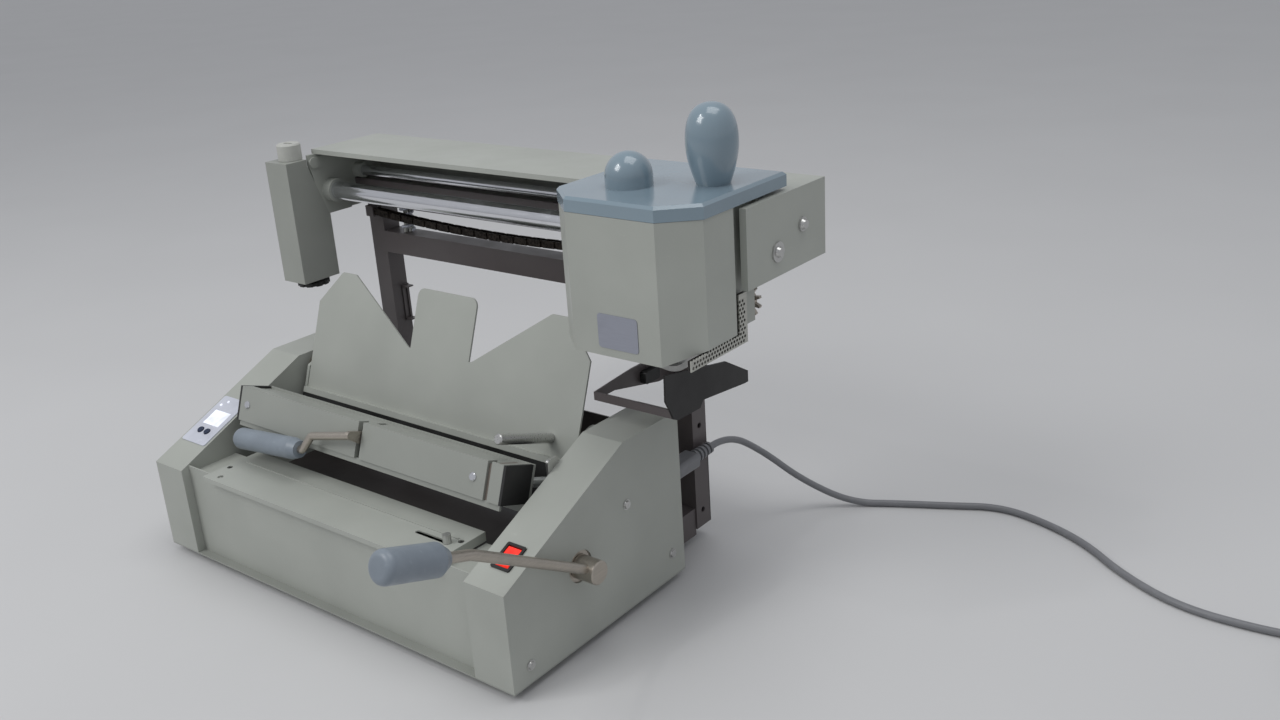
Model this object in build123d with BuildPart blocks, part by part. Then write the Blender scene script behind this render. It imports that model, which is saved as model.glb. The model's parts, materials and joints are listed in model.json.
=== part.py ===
from build123d import *
import math
import os

os.makedirs("parts", exist_ok=True)

# Desktop hot-melt glue binder, millimetres, +Z up, X along the rails, the operator at -Y.
# Places are measured from the middle of the base's front bottom edge, and the three plane
# helpers below move them to the part's origin, the middle of its footprint on the table.

# ---- fits ----
running_gap = 0.05            # radial, a shaft or rod in its bore
moving_gap = 0.4              # between neighbours that move past each other
seat_gap = 0.3                # between a moving piece at rest and what it rests on

# ---- base ----
base_width = 500.0
base_depth = 245.0
housing_width = 46.0
housing_front_height = 96.0
housing_height = 168.0
housing_slope_end = 163.0     # where the slope meets the flat top, from the front
sheet = 1.5
foot_height = 8.0
foot_radius = 11.0
foot_inset = 26.0
front_panel_recess = 9.0
front_panel_bottom = 1.5          # stands on the base pan
pan_lip = 12.0

# ---- cover table and press platform ----
table_width = 330.0
table_back = 67.0
table_height = 100.0
table_flange = 9.0
table_front_drop = 5.0
rule_width = 2.0
rule_height = 0.8
rule_back = 22.0              # from the table's back edge
slot_length = 44.0
slot_width = 5.0
slot_hole_radius = 3.0
stop_peg_radius = 4.0
platform_width = 330.0
platform_front = 69.0
platform_back = 175.0
platform_top = 74.0
platform_plate = 2.5
platform_flange = 10.0
guide_leg_radius = 4.0
guide_leg_x = 130.0
guide_leg_y = 140.0
guide_leg_bottom = 18.0
guide_sleeve_wall = 3.0
guide_sleeve_height = 42.0

lug_x = base_width / 2 - 32.0    # inner face of the platform's yoke
lug_thick = 4.0
lug_y = 106.3
lug_deep = 24.0
lug_high = 19.0
lug_round = 4.0
lug_pin_z = 73.0
yoke_slot = 11.0
yoke_gap = 0.3
lug_window_z = 77.0
lug_window_high = 30.0
lug_window_deep = 30.0
shelf_height = 90.0
shelf_depth = 56.0
shelf_gap = 1.5
shelf_width = 37.5
slot_x = table_width / 2 - 33.0
slot_y = 35.0
gauge_x = table_width / 2 - 15.0
gauge_height = 8.0
hole_x = table_width / 2 - 6.0
hole_y = 43.0
hole_left_y = 28.0
hole_left_x = table_width / 2 - 17.0
hole_front_y = 9.0

# ---- press lever ----
pin_radius = 3.0
crank_boss_radius = 11.0
crank_tip_radius = 6.0
bearing_thick = 11.0
bearing_radius = 19.0
hub_chamfer = 1.0
elbow_radius = 26.0
grip_neck_radius = 8.5
grip_neck = 9.0
grip_round = 6.0
grip_bore_end = 8.0
shaft_radius = 6.0
shaft_y = 95.0
shaft_z = 77.0
shaft_reach = base_width / 2 + 22.0    # right end of the hub
hub_radius = 11.0
hub_hole_radius = 15.0
cam_throw = 11.7
cam_angle = -20.0
cam_width = 7.0
cam_x = base_width / 2 - 21.0    # inner face of the crank
lever_x = base_width / 2 + 12.0
lever_rod_radius = 4.6
lever_neck = 28.0             # bare rod between the bend and the grip
lever_grip_start = (-66.0, 168.0)
lever_grip_length = 65.0
lever_grip_tilt = 20.2
lever_grip_radius = 13.5
bush_flange = 2.0

# ---- clamp unit, in its own leaning frame ----
lean = 20.6                   # the jaws' lean backwards from upright
jaw_top_y = 113.6             # back top edge of the moving jaw
jaw_top_z = 152.6
jaw_length = 380.0
jaw_depth = 38.6
jaw_height = 35.6
jaw_wall = 2.5
jaw_opening = 50.0            # from the moving jaw's back to the backrest
jaw_plate = 3.0
fixed_pad = 5.0
jaw_drop = 45.0               # both jaws' lower edge, below the moving jaw's top
backrest_bottom = -9.0
backrest_half = 193.0
ear_shoulder = 95.0
ear_top = 131.0
ear_outer = 161.0
ear_inner = 140.0
notch_floor = 68.0
notch_inner = 45.0
tab_half = 42.0
corner_radius = 9.0
rod_radius = 5.0
rod_x = 178.0
rod_drop = 20.0
rod_tail = 14.0
stop_rod_x = 161.0
stop_rod_up = 17.0
stop_rod_length = 73.0
cover_gap_left = -3.2
cover_gap_right = 3.2
cover_end = 168.0             # the right cover plate's end
cover_lip = 12.0
end_cap = 3.0
pivot_y = 186.0
pivot_z = 150.0
trunnion_radius = 7.0
arm_inner = base_width / 2 - 56.5
arm_outer = arm_inner + 3.5
arm_ring = 13.0

backrest_plate = 2.0
fixed_beam = 12.0
fixed_beam_top = 25.0
ear_radius = 5.0
trunnion_length = 12.0
bush_length = 8.0
stop_rod_radius = 5.0
stop_rod_chamfer = 1.0
cover_thick = 2.5
notch_depth = 4.5             # how far back the handle's slot runs in the moving jaw
end_strip = 14.0
jaw_screw_in = 15.0
catch_y = 121.0
catch_z = 148.0
catch_deep = 14.0
catch_high = 22.0
catch_round = 3.0
catch_thick = 2.5
catch_reach = 5.5

# ---- clamp handle ----
handle_ring = 5.0
handle_rod_up = -13.0
handle_knee = (-54.0, -25.0)
handle_bend = 5.0
clamp_grip_neck = 4.0
handle_pivot_in = 19.0        # ahead of the moving jaw's back
handle_pivot_drop = 18.0
handle_pin_radius = 4.0
handle_pin_half = 16.0
handle_arm = 32.0
handle_arm_thick = 4.0
handle_rod_radius = 4.0
handle_grip_near = (-64.0, -41.0)
handle_grip_far = (-164.0, -50.0)
handle_grip_radius = 11.0

# ---- gantry ----
arm_x = base_width / 2 - 36.0    # steel arms from the base back to the posts
arm_wide = 17.0
arm_high = 30.0
arm_bottom = 1.5
arm_front = 60.0
post_front = 303.5
post_depth = 23.0
post_inner = base_width / 2 - 49.0
post_outer = base_width / 2 - 26.0
post_wall = 2.0
post_bottom = 8.0
crossbar_bottom = 250.0
crossbar_top = 275.0
beam_bottom = 312.0
beam_top = 334.0
rear_panel_top = 97.0
rear_panel_flange = 18.0
hood_left = -base_width / 2 + 8.0
hood_right = base_width / 2 + 101.5
hood_front = 250.0
hood_back = 346.0
hood_top = 377.0
hood_bottom = 306.0
end_cover_front = 218.0
end_cover_flange = 6.5
end_plate_front = 259.5
rail_y = 265.0
rail_z = 329.0
rail_radius = 10.0
rear_rail_y = 306.0
rear_rail_z = 343.5
rear_rail_radius = 6.0

post_hole_low = 26.0
post_hole_high = 120.0
bracket_y = 322.0
bracket_z = 184.0
bracket_deep = 10.0
bracket_high = 44.0
bracket_slot = 4.0
bracket_lug = 8.0
hood_lip = 5.0
end_plate_bottom = 303.0
end_cover_bottom = 307.0
rail_end_radius = 3.0
rail_washer_radius = 9.0
rear_washer_radius = 6.5
rail_washer = 1.5

# ---- drive chain ----
anchor_wide = 12.0
anchor_deep = 11.0
anchor_high = 12.0
chain_y = 297.0
chain_left = -post_inner + 1.0
chain_right = hood_right - 13.5
chain_low_x = -10.0
chain_low_z = 291.5
chain_curve = 0.00023        # rise per square millimetre away from the lowest point
chain_pitch = 9.525
chain_plate_height = 7.6
chain_roller_radius = 3.2
chain_inner_half = 2.3
chain_plate = 1.0

# ---- glue carriage ----
body_left = 196.0
body_right = 346.0
body_front = 140.0
body_chamfer_x = 29.0
body_chamfer_y = 26.0
body_back = 248.0
body_side_back = 208.0
body_bottom = 259.5
body_side_bottom = 271.0
body_top = 380.0
lid_overhang = 1.0
lid_back = 289.0
lid_height = 13.0
lid_wall = 2.5
lid_round = 2.5
dome_x = 252.0
dome_y = 194.0
dome_radius = 20.5
dome_height = 29.0
egg_x = 314.0
egg_y = 228.0
egg_height = 67.0
egg_radius = 22.2
egg_base_radius = 14.5
block_left = 214.0
block_right = 330.0
block_front = 248.0
block_back = 282.0
block_bottom = 312.0
block_top = 346.0
hanger_front = 251.0
hanger_thick = 6.0
wheel_x = 271.0
wheel_z = 254.0
wheel_radius = 30.0
wheel_front = 209.8
wheel_back = 249.0
wheel_shaft_radius = 5.0
sprocket_z = 268.6
sprocket_teeth = 12
gear_module = 1.0
wheel_gear_teeth = 35
pinion_teeth = 21
gear_front = 259.0
gear_width = 3.0
pot_front = 152.0
pot_back = 205.0
pot_left = 222.0
pot_right = 322.0
pot_bottom = 276.0
pot_top = 352.0
guard_back = 226.0
guard_top = 304.0
guard_hole = 1.5
guard_pitch = 6.0

body_step = 338.0
back_wall_bottom = 300.0
guard_thick = 1.2
guard_front = 143.0
guard_step = 168.0
guard_low_top = 269.0
guard_dip_front = 203.0
guard_dip_back = 214.0
plate_left = 252.3
plate_right = 294.3
plate_low = 267.0
plate_high = 297.0
plate_round = 3.0
plate_thick = 0.6
guide_left = 252.0
guide_width = 34.0
guide_bottom = 336.0
guide_radius = 9.0
hanger_left = 240.0
hanger_right = 318.0
hanger_shoulder = 262.0
hanger_bottom = 240.0
hanger_foot = 8.0
sprocket_x = 294.9
sprocket_shaft_radius = 4.0
sprocket_module = 2.6
pot_round = 6.0
pot_floor = 3.0
pot_wall = 2.5
pot_flange_z = 340.0
pot_flange_deep = 36.0
wheel_rim = 5.0
wheel_hub_radius = 10.0
wheel_dish = 8.0

# ---- milling head ----
knob_shaft_radius = 3.0
knob_chamfer = 1.5
bracket_step_y = 290.0
bracket_step_z = 336.0
bracket_wedge = 3.0
chamfer_meet_y = 244.05
chamfer_meet_z = 341.0
link_near = 246.0
link_far = link_near + 24.0
link_z = 363.0
link_round = 6.0
link_thick = 2.0
rear_bush_radius = 8.5
cutter_shaft_radius = 4.0
cutter_notch = 4.0
motor_bottom = 236.0
motor_deep = 40.0
motor_high = 60.0
mill_right = hood_left + 5.8
mill_width = 36.6
mill_front = 209.5
mill_bottom = 231.6
mill_top = 368.0
mill_top_back = 237.0
mill_back = 258.5
mill_chamfer_z = 361.0
mill_chamfer_foot = 300.0
bracket_thick = 3.8
bracket_back = 316.0
bracket_top = 372.0
mill_bush_radius = 13.0
mill_bush_length = 12.0
cutter_y = 235.0
cutter_radius = 18.0
cutter_z = 224.0
cutter_thick = 4.0
cutter_teeth = 10
mill_knob_radius = 13.0
mill_knob_height = 18.0
mill_knob_y = 230.0

# ---- drip tray frame ----
tray_left = base_width / 2 - 48.0
tray_right = tray_left + 88.0
tray_front = 185.0
tray_bottom = 191.0
tray_top = 199.0
tray_strip = 2.0

tray_rise_y = 240.0
tray_rise_z = 203.0
tray_tail_y = 280.0
tray_tail_z = 176.0
tray_rear_z = 185.0
latch_y = 262.0
latch_z = 190.0
latch_deep = 22.0
latch_high = 12.0
latch_round = 2.0
latch_wide = 7.0

# ---- controls ----
slope_angle = math.degrees(math.atan2(housing_height - housing_front_height, housing_slope_end))
switch_along = 35.0
switch_length = 27.0
switch_width = 21.0
switch_lip = 1.6
rocker_length = 21.0
rocker_width = 15.0
rocker_rise = 3.2
panel_along = 68.0
panel_length = 66.0
panel_width = 40.0
panel_thick = 1.0
button_radius = 3.6
button_rise = 1.6
button_spread = 11.0
button_along = -16.0

switch_shift = 1.0
switch_depth = 12.0
rocker_dip = 2.6
rocker_sink = 4.0
rocker_pivot = 3.0            # rocking axis below the housing's skin
display_along = 3.0
display_width = 27.0
display_length = 20.0
display_sink = 0.3
lamp_spread = 12.0
lamp_along = 20.0
lamp_radius = 1.5
button_chamfer = 0.5
button_stem = 3.0
button_collar = 1.0
button_collar_gap = 0.4

# ---- power cord ----
inlet_body = 20.0
connector_round = 4.0
relief_pitch = 6.0
relief_ribs = 5
relief_rib = 1.6
relief_fall = 0.2
coil_x = 812.0
coil_y = 392.0
coil_entry = 42.0             # middle of the coil's outer turns
coil_round = 3.0
coil_turns = 3.25             # wound up, the last one reaching the plug
plug_radius = 18.5
plug_thick = 30.0
plug_reach = 45.0
plug_round = 3.0
plug_pin = 19.0
plug_pin_radius = 2.4
plug_pin_pitch = 19.0
inlet_x = base_width / 2 - 18.0
inlet_z = 96.0
inlet_width = 27.0
inlet_height = 20.0
inlet_flange = 2.0
connector_width = 20.0
connector_height = 15.0
connector_length = 42.0
relief_length = 34.0
relief_root = 5.3
cord_radius = 3.5

# ---- fasteners ----
screw_washer = 0.6
screw_a = (162.7, 106.9)      # on each housing's outer face, from its front bottom corner
screw_b = (226.0, 26.0)
screw_c = (22.6, 18.0)
screw_head_radius = 4.0
screw_head = 1.6

# Overall reach, for the origin.
end_bolt_reach = 4.5
reach_left = mill_right - mill_width
reach_right = hood_right + end_bolt_reach
reach_front = (
    lever_grip_start[0]
    - (lever_grip_length - grip_round) * math.cos(math.radians(lever_grip_tilt))
    - (lever_grip_radius - grip_round) * math.sin(math.radians(lever_grip_tilt))
    - grip_round
)
reach_back = hood_back
origin_x = (reach_left + reach_right) / 2
origin_y = (reach_front + reach_back) / 2

inner_wall = base_width / 2 - housing_width
switch_x = base_width / 2 - housing_width / 2 + switch_shift
panel_x = -base_width / 2 + housing_width / 2
jaw_ahead = Vector(0, -math.cos(math.radians(lean)), math.sin(math.radians(lean)))
jaw_up = Vector(0, math.sin(math.radians(lean)), math.cos(math.radians(lean)))
jaw_origin = Vector(-origin_x, jaw_top_y - origin_y, jaw_top_z + foot_height)


def place(x, y, z):
    """A point of the machine, in the part's frame."""
    return Vector(x - origin_x, y - origin_y, z + foot_height)


def plan(z):
    """A level plane, its sketch in X and Y."""
    return Plane(origin=place(0, 0, z), x_dir=(1, 0, 0), z_dir=(0, 0, 1))


def side(x):
    """A plane across the rails, its sketch in Y and Z, facing +X."""
    return Plane(origin=place(x, 0, 0), x_dir=(0, 1, 0), z_dir=(1, 0, 0))


def front(y):
    """A plane along the rails, its sketch in X and Z, facing the operator."""
    return Plane(origin=place(0, y, 0), x_dir=(1, 0, 0), z_dir=(0, -1, 0))


def jaw_side(x):
    """A plane across the jaws, its sketch in the jaws' forward and up, facing +X."""
    return Plane(origin=jaw_origin + Vector(x, 0, 0), x_dir=jaw_ahead, z_dir=(-1, 0, 0))


def jaw_face(ahead):
    """A plane along the jaws at a distance ahead of the moving jaw's back, facing forward."""
    return Plane(origin=jaw_origin + jaw_ahead * ahead, x_dir=(1, 0, 0), z_dir=jaw_ahead)


def slope(x, along):
    """A plane on a housing's slope, its sketch across and up the slope."""
    run = math.radians(slope_angle)
    spot = place(x, along * math.cos(run), housing_front_height + along * math.sin(run))
    return Plane(origin=spot, x_dir=(1, 0, 0), z_dir=(0, -math.sin(run), math.cos(run)))


def housing_outline():
    with BuildLine() as outline:
        Polyline(
            (0, sheet),
            (0, housing_front_height),
            (housing_slope_end, housing_height),
            (base_depth, housing_height),
            (base_depth, sheet),
            close=True,
        )
    return outline.line


# ================= base =================

with BuildPart() as base_pan:
    with BuildSketch(plan(0)):
        with Locations((0, base_depth / 2)):
            Rectangle(base_width, base_depth)
    extrude(amount=sheet)
    with BuildSketch(plan(sheet)):
        with Locations((0, base_depth)):
            Rectangle(2 * inner_wall - 2 * seat_gap, sheet, align=(Align.CENTER, Align.MAX))
    extrude(amount=pan_lip)
    with BuildSketch(plan(sheet)):
        with Locations((-guide_leg_x, guide_leg_y), (guide_leg_x, guide_leg_y)):
            Circle(guide_leg_radius + 2 * guide_sleeve_wall)
    extrude(amount=2 * sheet)
    with BuildSketch(plan(sheet)):
        with Locations((-guide_leg_x, guide_leg_y), (guide_leg_x, guide_leg_y)):
            Circle(guide_leg_radius + guide_sleeve_wall)
    extrude(amount=guide_sleeve_height)
    with BuildSketch(plan(sheet)):
        with Locations((-guide_leg_x, guide_leg_y), (guide_leg_x, guide_leg_y)):
            Circle(guide_leg_radius + running_gap)
    extrude(amount=guide_sleeve_height, mode=Mode.SUBTRACT)
base_pan.part.label = "base_pan"
export_step(base_pan.part, "parts/base_pan.step")

with BuildPart() as left_housing:
    with BuildSketch(side(-base_width / 2)):
        make_face(housing_outline().edges())
    extrude(amount=housing_width)
    offset(amount=-sheet, openings=left_housing.faces().sort_by(Axis.Z)[0])
    with BuildSketch(side(-inner_wall - 2 * sheet)):
        with Locations((pivot_y, pivot_z)):
            Circle(trunnion_radius + bush_flange)
    extrude(amount=3 * sheet, mode=Mode.SUBTRACT)
    with BuildSketch(slope(panel_x, panel_along)):
        with Locations((0, button_along)):
            Rectangle(button_spread + 4 * button_radius, 3 * button_radius)
    extrude(amount=3 * sheet, both=True, mode=Mode.SUBTRACT)
    with BuildSketch(front(base_depth + sheet)):
        with Locations((-arm_x, arm_bottom)):
            Rectangle(arm_wide + 2 * seat_gap, 2 * arm_high + seat_gap, align=(Align.CENTER, Align.CENTER))
    extrude(amount=3 * sheet, mode=Mode.SUBTRACT)
left_housing.part.label = "left_housing"
export_step(left_housing.part, "parts/left_housing.step")

with BuildPart() as right_housing:
    with BuildSketch(side(inner_wall)):
        make_face(housing_outline().edges())
    extrude(amount=housing_width)
    offset(amount=-sheet, openings=right_housing.faces().sort_by(Axis.Z)[0])
    with BuildSketch(side(inner_wall - sheet)):
        with Locations((pivot_y, pivot_z)):
            Circle(trunnion_radius + bush_flange)
        with Locations((lug_y, lug_window_z)):
            Rectangle(lug_window_deep, lug_window_high)
    extrude(amount=3 * sheet, mode=Mode.SUBTRACT)
    with BuildSketch(side(base_width / 2 - 2 * sheet)):
        with Locations((shaft_y, shaft_z)):
            Circle(hub_hole_radius)
    extrude(amount=3 * sheet, mode=Mode.SUBTRACT)
    with BuildSketch(slope(switch_x, switch_along)):
        Rectangle(switch_width - 2 * switch_lip, switch_length - 2 * switch_lip)
    extrude(amount=3 * sheet, both=True, mode=Mode.SUBTRACT)
    with BuildSketch(front(base_depth + sheet)):
        with Locations((inlet_x, inlet_z)):
            Rectangle(inlet_width, inlet_height)
        with Locations((arm_x, arm_bottom)):
            Rectangle(arm_wide + 2 * seat_gap, 2 * arm_high + seat_gap, align=(Align.CENTER, Align.CENTER))
    extrude(amount=3 * sheet, mode=Mode.SUBTRACT)
right_housing.part.label = "right_housing"
export_step(right_housing.part, "parts/right_housing.step")

# Front panel on the base pan, with a shelf folded back at each side of the table.
with BuildPart() as front_panel:
    with BuildSketch(front(front_panel_recess + sheet)):
        with Locations((0, front_panel_bottom)):
            Rectangle(
                2 * inner_wall,
                table_height - sheet - front_panel_bottom,
                align=(Align.CENTER, Align.MIN),
            )
    extrude(amount=sheet)
    with BuildSketch(plan(front_panel_bottom)):
        with Locations((0, front_panel_recess + sheet)):
            Rectangle(2 * inner_wall, pan_lip, align=(Align.CENTER, Align.MIN))
    extrude(amount=sheet)
    with BuildSketch(plan(shelf_height - sheet)):
        with Locations((0, front_panel_recess + shelf_depth / 2)):
            with GridLocations(table_width + 2 * shelf_gap + shelf_width, 0, 2, 1):
                Rectangle(shelf_width, shelf_depth)
    extrude(amount=sheet)
    with BuildSketch(plan(shelf_height - sheet)):
        with Locations((0, front_panel_recess + shelf_depth - sheet / 2)):
            with GridLocations(table_width + 2 * shelf_gap + shelf_width, 0, 2, 1):
                Rectangle(shelf_width, sheet)
    extrude(amount=-table_flange)
front_panel.part.label = "front_panel"
export_step(front_panel.part, "parts/front_panel.step")

with BuildPart() as rubber_feet:
    with BuildSketch(plan(0)):
        with Locations((0, base_depth / 2)):
            with GridLocations(base_width - 2 * foot_inset, base_depth - 2 * foot_inset, 2, 2):
                Circle(foot_radius)
    extrude(amount=-foot_height, taper=8)
rubber_feet.part.label = "rubber_feet"
export_step(rubber_feet.part, "parts/rubber_feet.step")

# Folded cover table: a level plate with side flanges, a raised ruling and a gauge slot.
with BuildPart() as cover_table:
    with BuildSketch(plan(table_height - sheet)):
        Rectangle(table_width, table_back, align=(Align.CENTER, Align.MIN))
    extrude(amount=sheet)
    with BuildSketch(plan(table_height - sheet)):
        with Locations((0, table_back / 2 + front_panel_recess / 2 + sheet)):
            with GridLocations(table_width - sheet, 0, 2, 1):
                Rectangle(sheet, table_back - front_panel_recess - 2 * sheet)
        with Locations((0, table_back - sheet / 2)):
            Rectangle(table_width, sheet)
    extrude(amount=sheet - table_flange)
    with BuildSketch(plan(table_height - sheet)):
        Rectangle(table_width, sheet, align=(Align.CENTER, Align.MIN))
    extrude(amount=sheet - table_front_drop)
    with BuildSketch(plan(table_height)):
        with Locations((0, table_back - rule_back)):
            Rectangle(table_width - rule_back, rule_width)
    extrude(amount=rule_height)
    with BuildSketch(plan(table_height + rule_height)):
        with Locations((slot_x, slot_y)):
            SlotOverall(slot_length, slot_width)
        with Locations((hole_x, hole_y), (-hole_x, hole_left_y), (-hole_left_x, hole_front_y)):
            Circle(slot_hole_radius)
    extrude(amount=-3 * sheet, mode=Mode.SUBTRACT)
cover_table.part.label = "cover_table"
export_step(cover_table.part, "parts/cover_table.step")

# Cover gauge: a ribbed thumb peg with a shank through the slot and a washer under the table.
with BuildPart() as side_gauge:
    with BuildSketch(plan(table_height + seat_gap)):
        with Locations((gauge_x, slot_y)):
            RegularPolygon(stop_peg_radius, 12)
    extrude(amount=gauge_height)
    with BuildSketch(plan(table_height - sheet - seat_gap)):
        with Locations((gauge_x, slot_y)):
            Circle(stop_peg_radius)
    extrude(amount=-sheet)
    with BuildSketch(plan(table_height - sheet - seat_gap)):
        with Locations((gauge_x, slot_y)):
            Circle(slot_width / 2 - seat_gap)
    extrude(amount=sheet + 2 * seat_gap)
side_gauge.part.label = "side_gauge"
export_step(side_gauge.part, "parts/side_gauge.step")

# ================= press platform =================

with BuildPart() as press_platform:
    with BuildSketch(plan(platform_top - platform_plate)):
        with Locations((0, (platform_front + platform_back) / 2)):
            Rectangle(platform_width, platform_back - platform_front)
    extrude(amount=platform_plate)
    with BuildSketch(plan(platform_top - platform_plate)):
        with Locations((0, (platform_front + platform_back) / 2)):
            with GridLocations(0, platform_back - platform_front - platform_plate, 1, 2):
                Rectangle(platform_width, platform_plate)
    extrude(amount=-platform_flange)
    with BuildSketch(plan(platform_top - platform_plate)):
        with Locations((-guide_leg_x, guide_leg_y), (guide_leg_x, guide_leg_y)):
            Circle(guide_leg_radius)
    extrude(amount=guide_leg_bottom - platform_top + platform_plate)
    with BuildSketch(plan(platform_top - platform_plate)):
        with Locations((platform_width / 2, lug_y)):
            Rectangle(lug_x - platform_width / 2, lug_deep, align=(Align.MIN, Align.CENTER))
    extrude(amount=platform_plate)
    with BuildSketch(side(lug_x)):
        with Locations((lug_y, lug_pin_z)):
            RectangleRounded(lug_deep, lug_high, lug_round)
            SlotOverall(yoke_slot, 2 * pin_radius + 2 * yoke_gap, mode=Mode.SUBTRACT)
    extrude(amount=lug_thick)
press_platform.part.label = "press_platform"
export_step(press_platform.part, "parts/press_platform.step")

# ================= press lever =================

outer_skin = base_width / 2 - sheet
crank_end = cam_x + cam_width
pin_y = shaft_y + cam_throw * math.cos(math.radians(cam_angle))
pin_z = shaft_z + cam_throw * math.sin(math.radians(cam_angle))
grip_run = math.radians(lever_grip_tilt)
grip_end = (
    lever_grip_start[0] - (lever_grip_length - grip_bore_end) * math.cos(grip_run),
    lever_grip_start[1] + (lever_grip_length - grip_bore_end) * math.sin(grip_run),
)
lever_elbow = (
    lever_grip_start[0] + lever_neck * math.cos(grip_run),
    lever_grip_start[1] - lever_neck * math.sin(grip_run),
)
with BuildPart() as lever_shaft:
    with BuildSketch(side(cam_x)):
        with Locations((shaft_y, shaft_z)):
            Circle(crank_boss_radius)
        with Locations((pin_y, pin_z)):
            Circle(crank_tip_radius)
        make_hull()
    extrude(amount=cam_width)
    with BuildSketch(side(cam_x)):
        with Locations((pin_y, pin_z)):
            Circle(pin_radius)
    extrude(amount=lug_x + seat_gap - cam_x)
    with BuildSketch(side(crank_end)):
        with Locations((shaft_y, shaft_z)):
            Circle(shaft_radius)
    extrude(amount=outer_skin + moving_gap - crank_end)
    with BuildLine(side(lever_x)) as rod_path:
        FilletPolyline((shaft_y, shaft_z), lever_elbow, grip_end, radius=elbow_radius)
    with BuildSketch(Plane(origin=rod_path.line @ 0, z_dir=rod_path.line % 0)):
        Circle(lever_rod_radius)
    sweep(path=rod_path.line)
    with BuildSketch(side(outer_skin + moving_gap)):
        with Locations((shaft_y, shaft_z)):
            Circle(hub_radius)
    extrude(amount=shaft_reach - outer_skin - moving_gap)
    hub_edge = lever_shaft.faces().sort_by(Axis.X)[-1].edges()
    chamfer(hub_edge, length=hub_chamfer)
lever_shaft.part.label = "lever_shaft"
export_step(lever_shaft.part, "parts/lever_shaft.step")

grip_plane = Plane(
    origin=place(lever_x, lever_grip_start[0], lever_grip_start[1]),
    x_dir=(1, 0, 0),
    z_dir=(0, -math.cos(grip_run), math.sin(grip_run)),
)
with BuildPart() as lever_grip:
    with BuildSketch(Plane(origin=grip_plane.origin, x_dir=(1, 0, 0), z_dir=grip_plane.y_dir)):
        with BuildLine():
            Polyline(
                (lever_rod_radius, 0),
                (grip_neck_radius, 0),
                (lever_grip_radius, -grip_neck),
                (lever_grip_radius, -lever_grip_length + grip_round),
            )
            RadiusArc(
                (lever_grip_radius, -lever_grip_length + grip_round),
                (lever_grip_radius - grip_round, -lever_grip_length),
                grip_round,
            )
            Polyline(
                (lever_grip_radius - grip_round, -lever_grip_length),
                (0, -lever_grip_length),
                (0, -lever_grip_length + grip_bore_end),
                (lever_rod_radius, -lever_grip_length + grip_bore_end),
                (lever_rod_radius, 0),
            )
        make_face()
    revolve(axis=Axis(grip_plane.origin, grip_plane.z_dir))
lever_grip.part.label = "lever_grip"
export_step(lever_grip.part, "parts/lever_grip.step")

# Bearings in the housings: a block for the press lever, flanged bushes for the clamp unit.
with BuildPart() as bearings:
    with BuildSketch(side(outer_skin - bearing_thick)):
        with Locations((shaft_y, shaft_z)):
            RectangleRounded(2 * bearing_radius, 2 * bearing_radius, bearing_radius / 3)
            Circle(shaft_radius + running_gap, mode=Mode.SUBTRACT)
    extrude(amount=bearing_thick)
    for hand in (-1, 1):
        with BuildSketch(side(hand * (inner_wall - bush_flange))):
            with Locations((pivot_y, pivot_z)):
                Circle(arm_ring)
                Circle(trunnion_radius + running_gap, mode=Mode.SUBTRACT)
        extrude(amount=hand * bush_flange)
        with BuildSketch(side(hand * inner_wall)):
            with Locations((pivot_y, pivot_z)):
                Circle(trunnion_radius + bush_flange)
                Circle(trunnion_radius + running_gap, mode=Mode.SUBTRACT)
        extrude(amount=hand * bush_length)
bearings.part.label = "bearings"
export_step(bearings.part, "parts/bearings.step")

# ================= clamp unit =================

with BuildPart() as back_rest:
    with BuildSketch(jaw_face(-jaw_opening)):
        with BuildLine():
            Polyline(
                (-backrest_half, backrest_bottom),
                (-backrest_half, ear_shoulder),
                (-ear_outer, ear_top),
                (-ear_inner, ear_top),
                (-notch_inner, notch_floor),
                (-tab_half, notch_floor),
                (-tab_half, ear_top),
                (tab_half, ear_top),
                (tab_half, notch_floor),
                (notch_inner, notch_floor),
                (ear_inner, ear_top),
                (ear_outer, ear_top),
                (backrest_half, ear_shoulder),
                (backrest_half, backrest_bottom),
                close=True,
            )
        make_face()
    extrude(amount=-backrest_plate)
    tab_corners = back_rest.edges().filter_by(Axis((0, 0, 0), jaw_ahead))
    tab_tops = tab_corners.filter_by(lambda e: abs(e.center().X + origin_x) < tab_half + 1)
    fillet(tab_tops.sort_by(Axis.Z)[-2:], radius=corner_radius)
    ear_tops = tab_corners.filter_by(lambda e: ear_inner - 1 < abs(e.center().X + origin_x) < ear_outer + 1)
    fillet(ear_tops, radius=ear_radius)
back_rest.part.label = "back_rest"
export_step(back_rest.part, "parts/back_rest.step")

fixed_back = jaw_opening + backrest_plate + fixed_beam
cheek_lead = 1.0              # the end cheeks' front edge ahead of the fixed jaw's step
pivot_ahead = (place(0, pivot_y, pivot_z) - jaw_origin).dot(jaw_ahead)
pivot_up = (place(0, pivot_y, pivot_z) - jaw_origin).dot(jaw_up)

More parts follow.
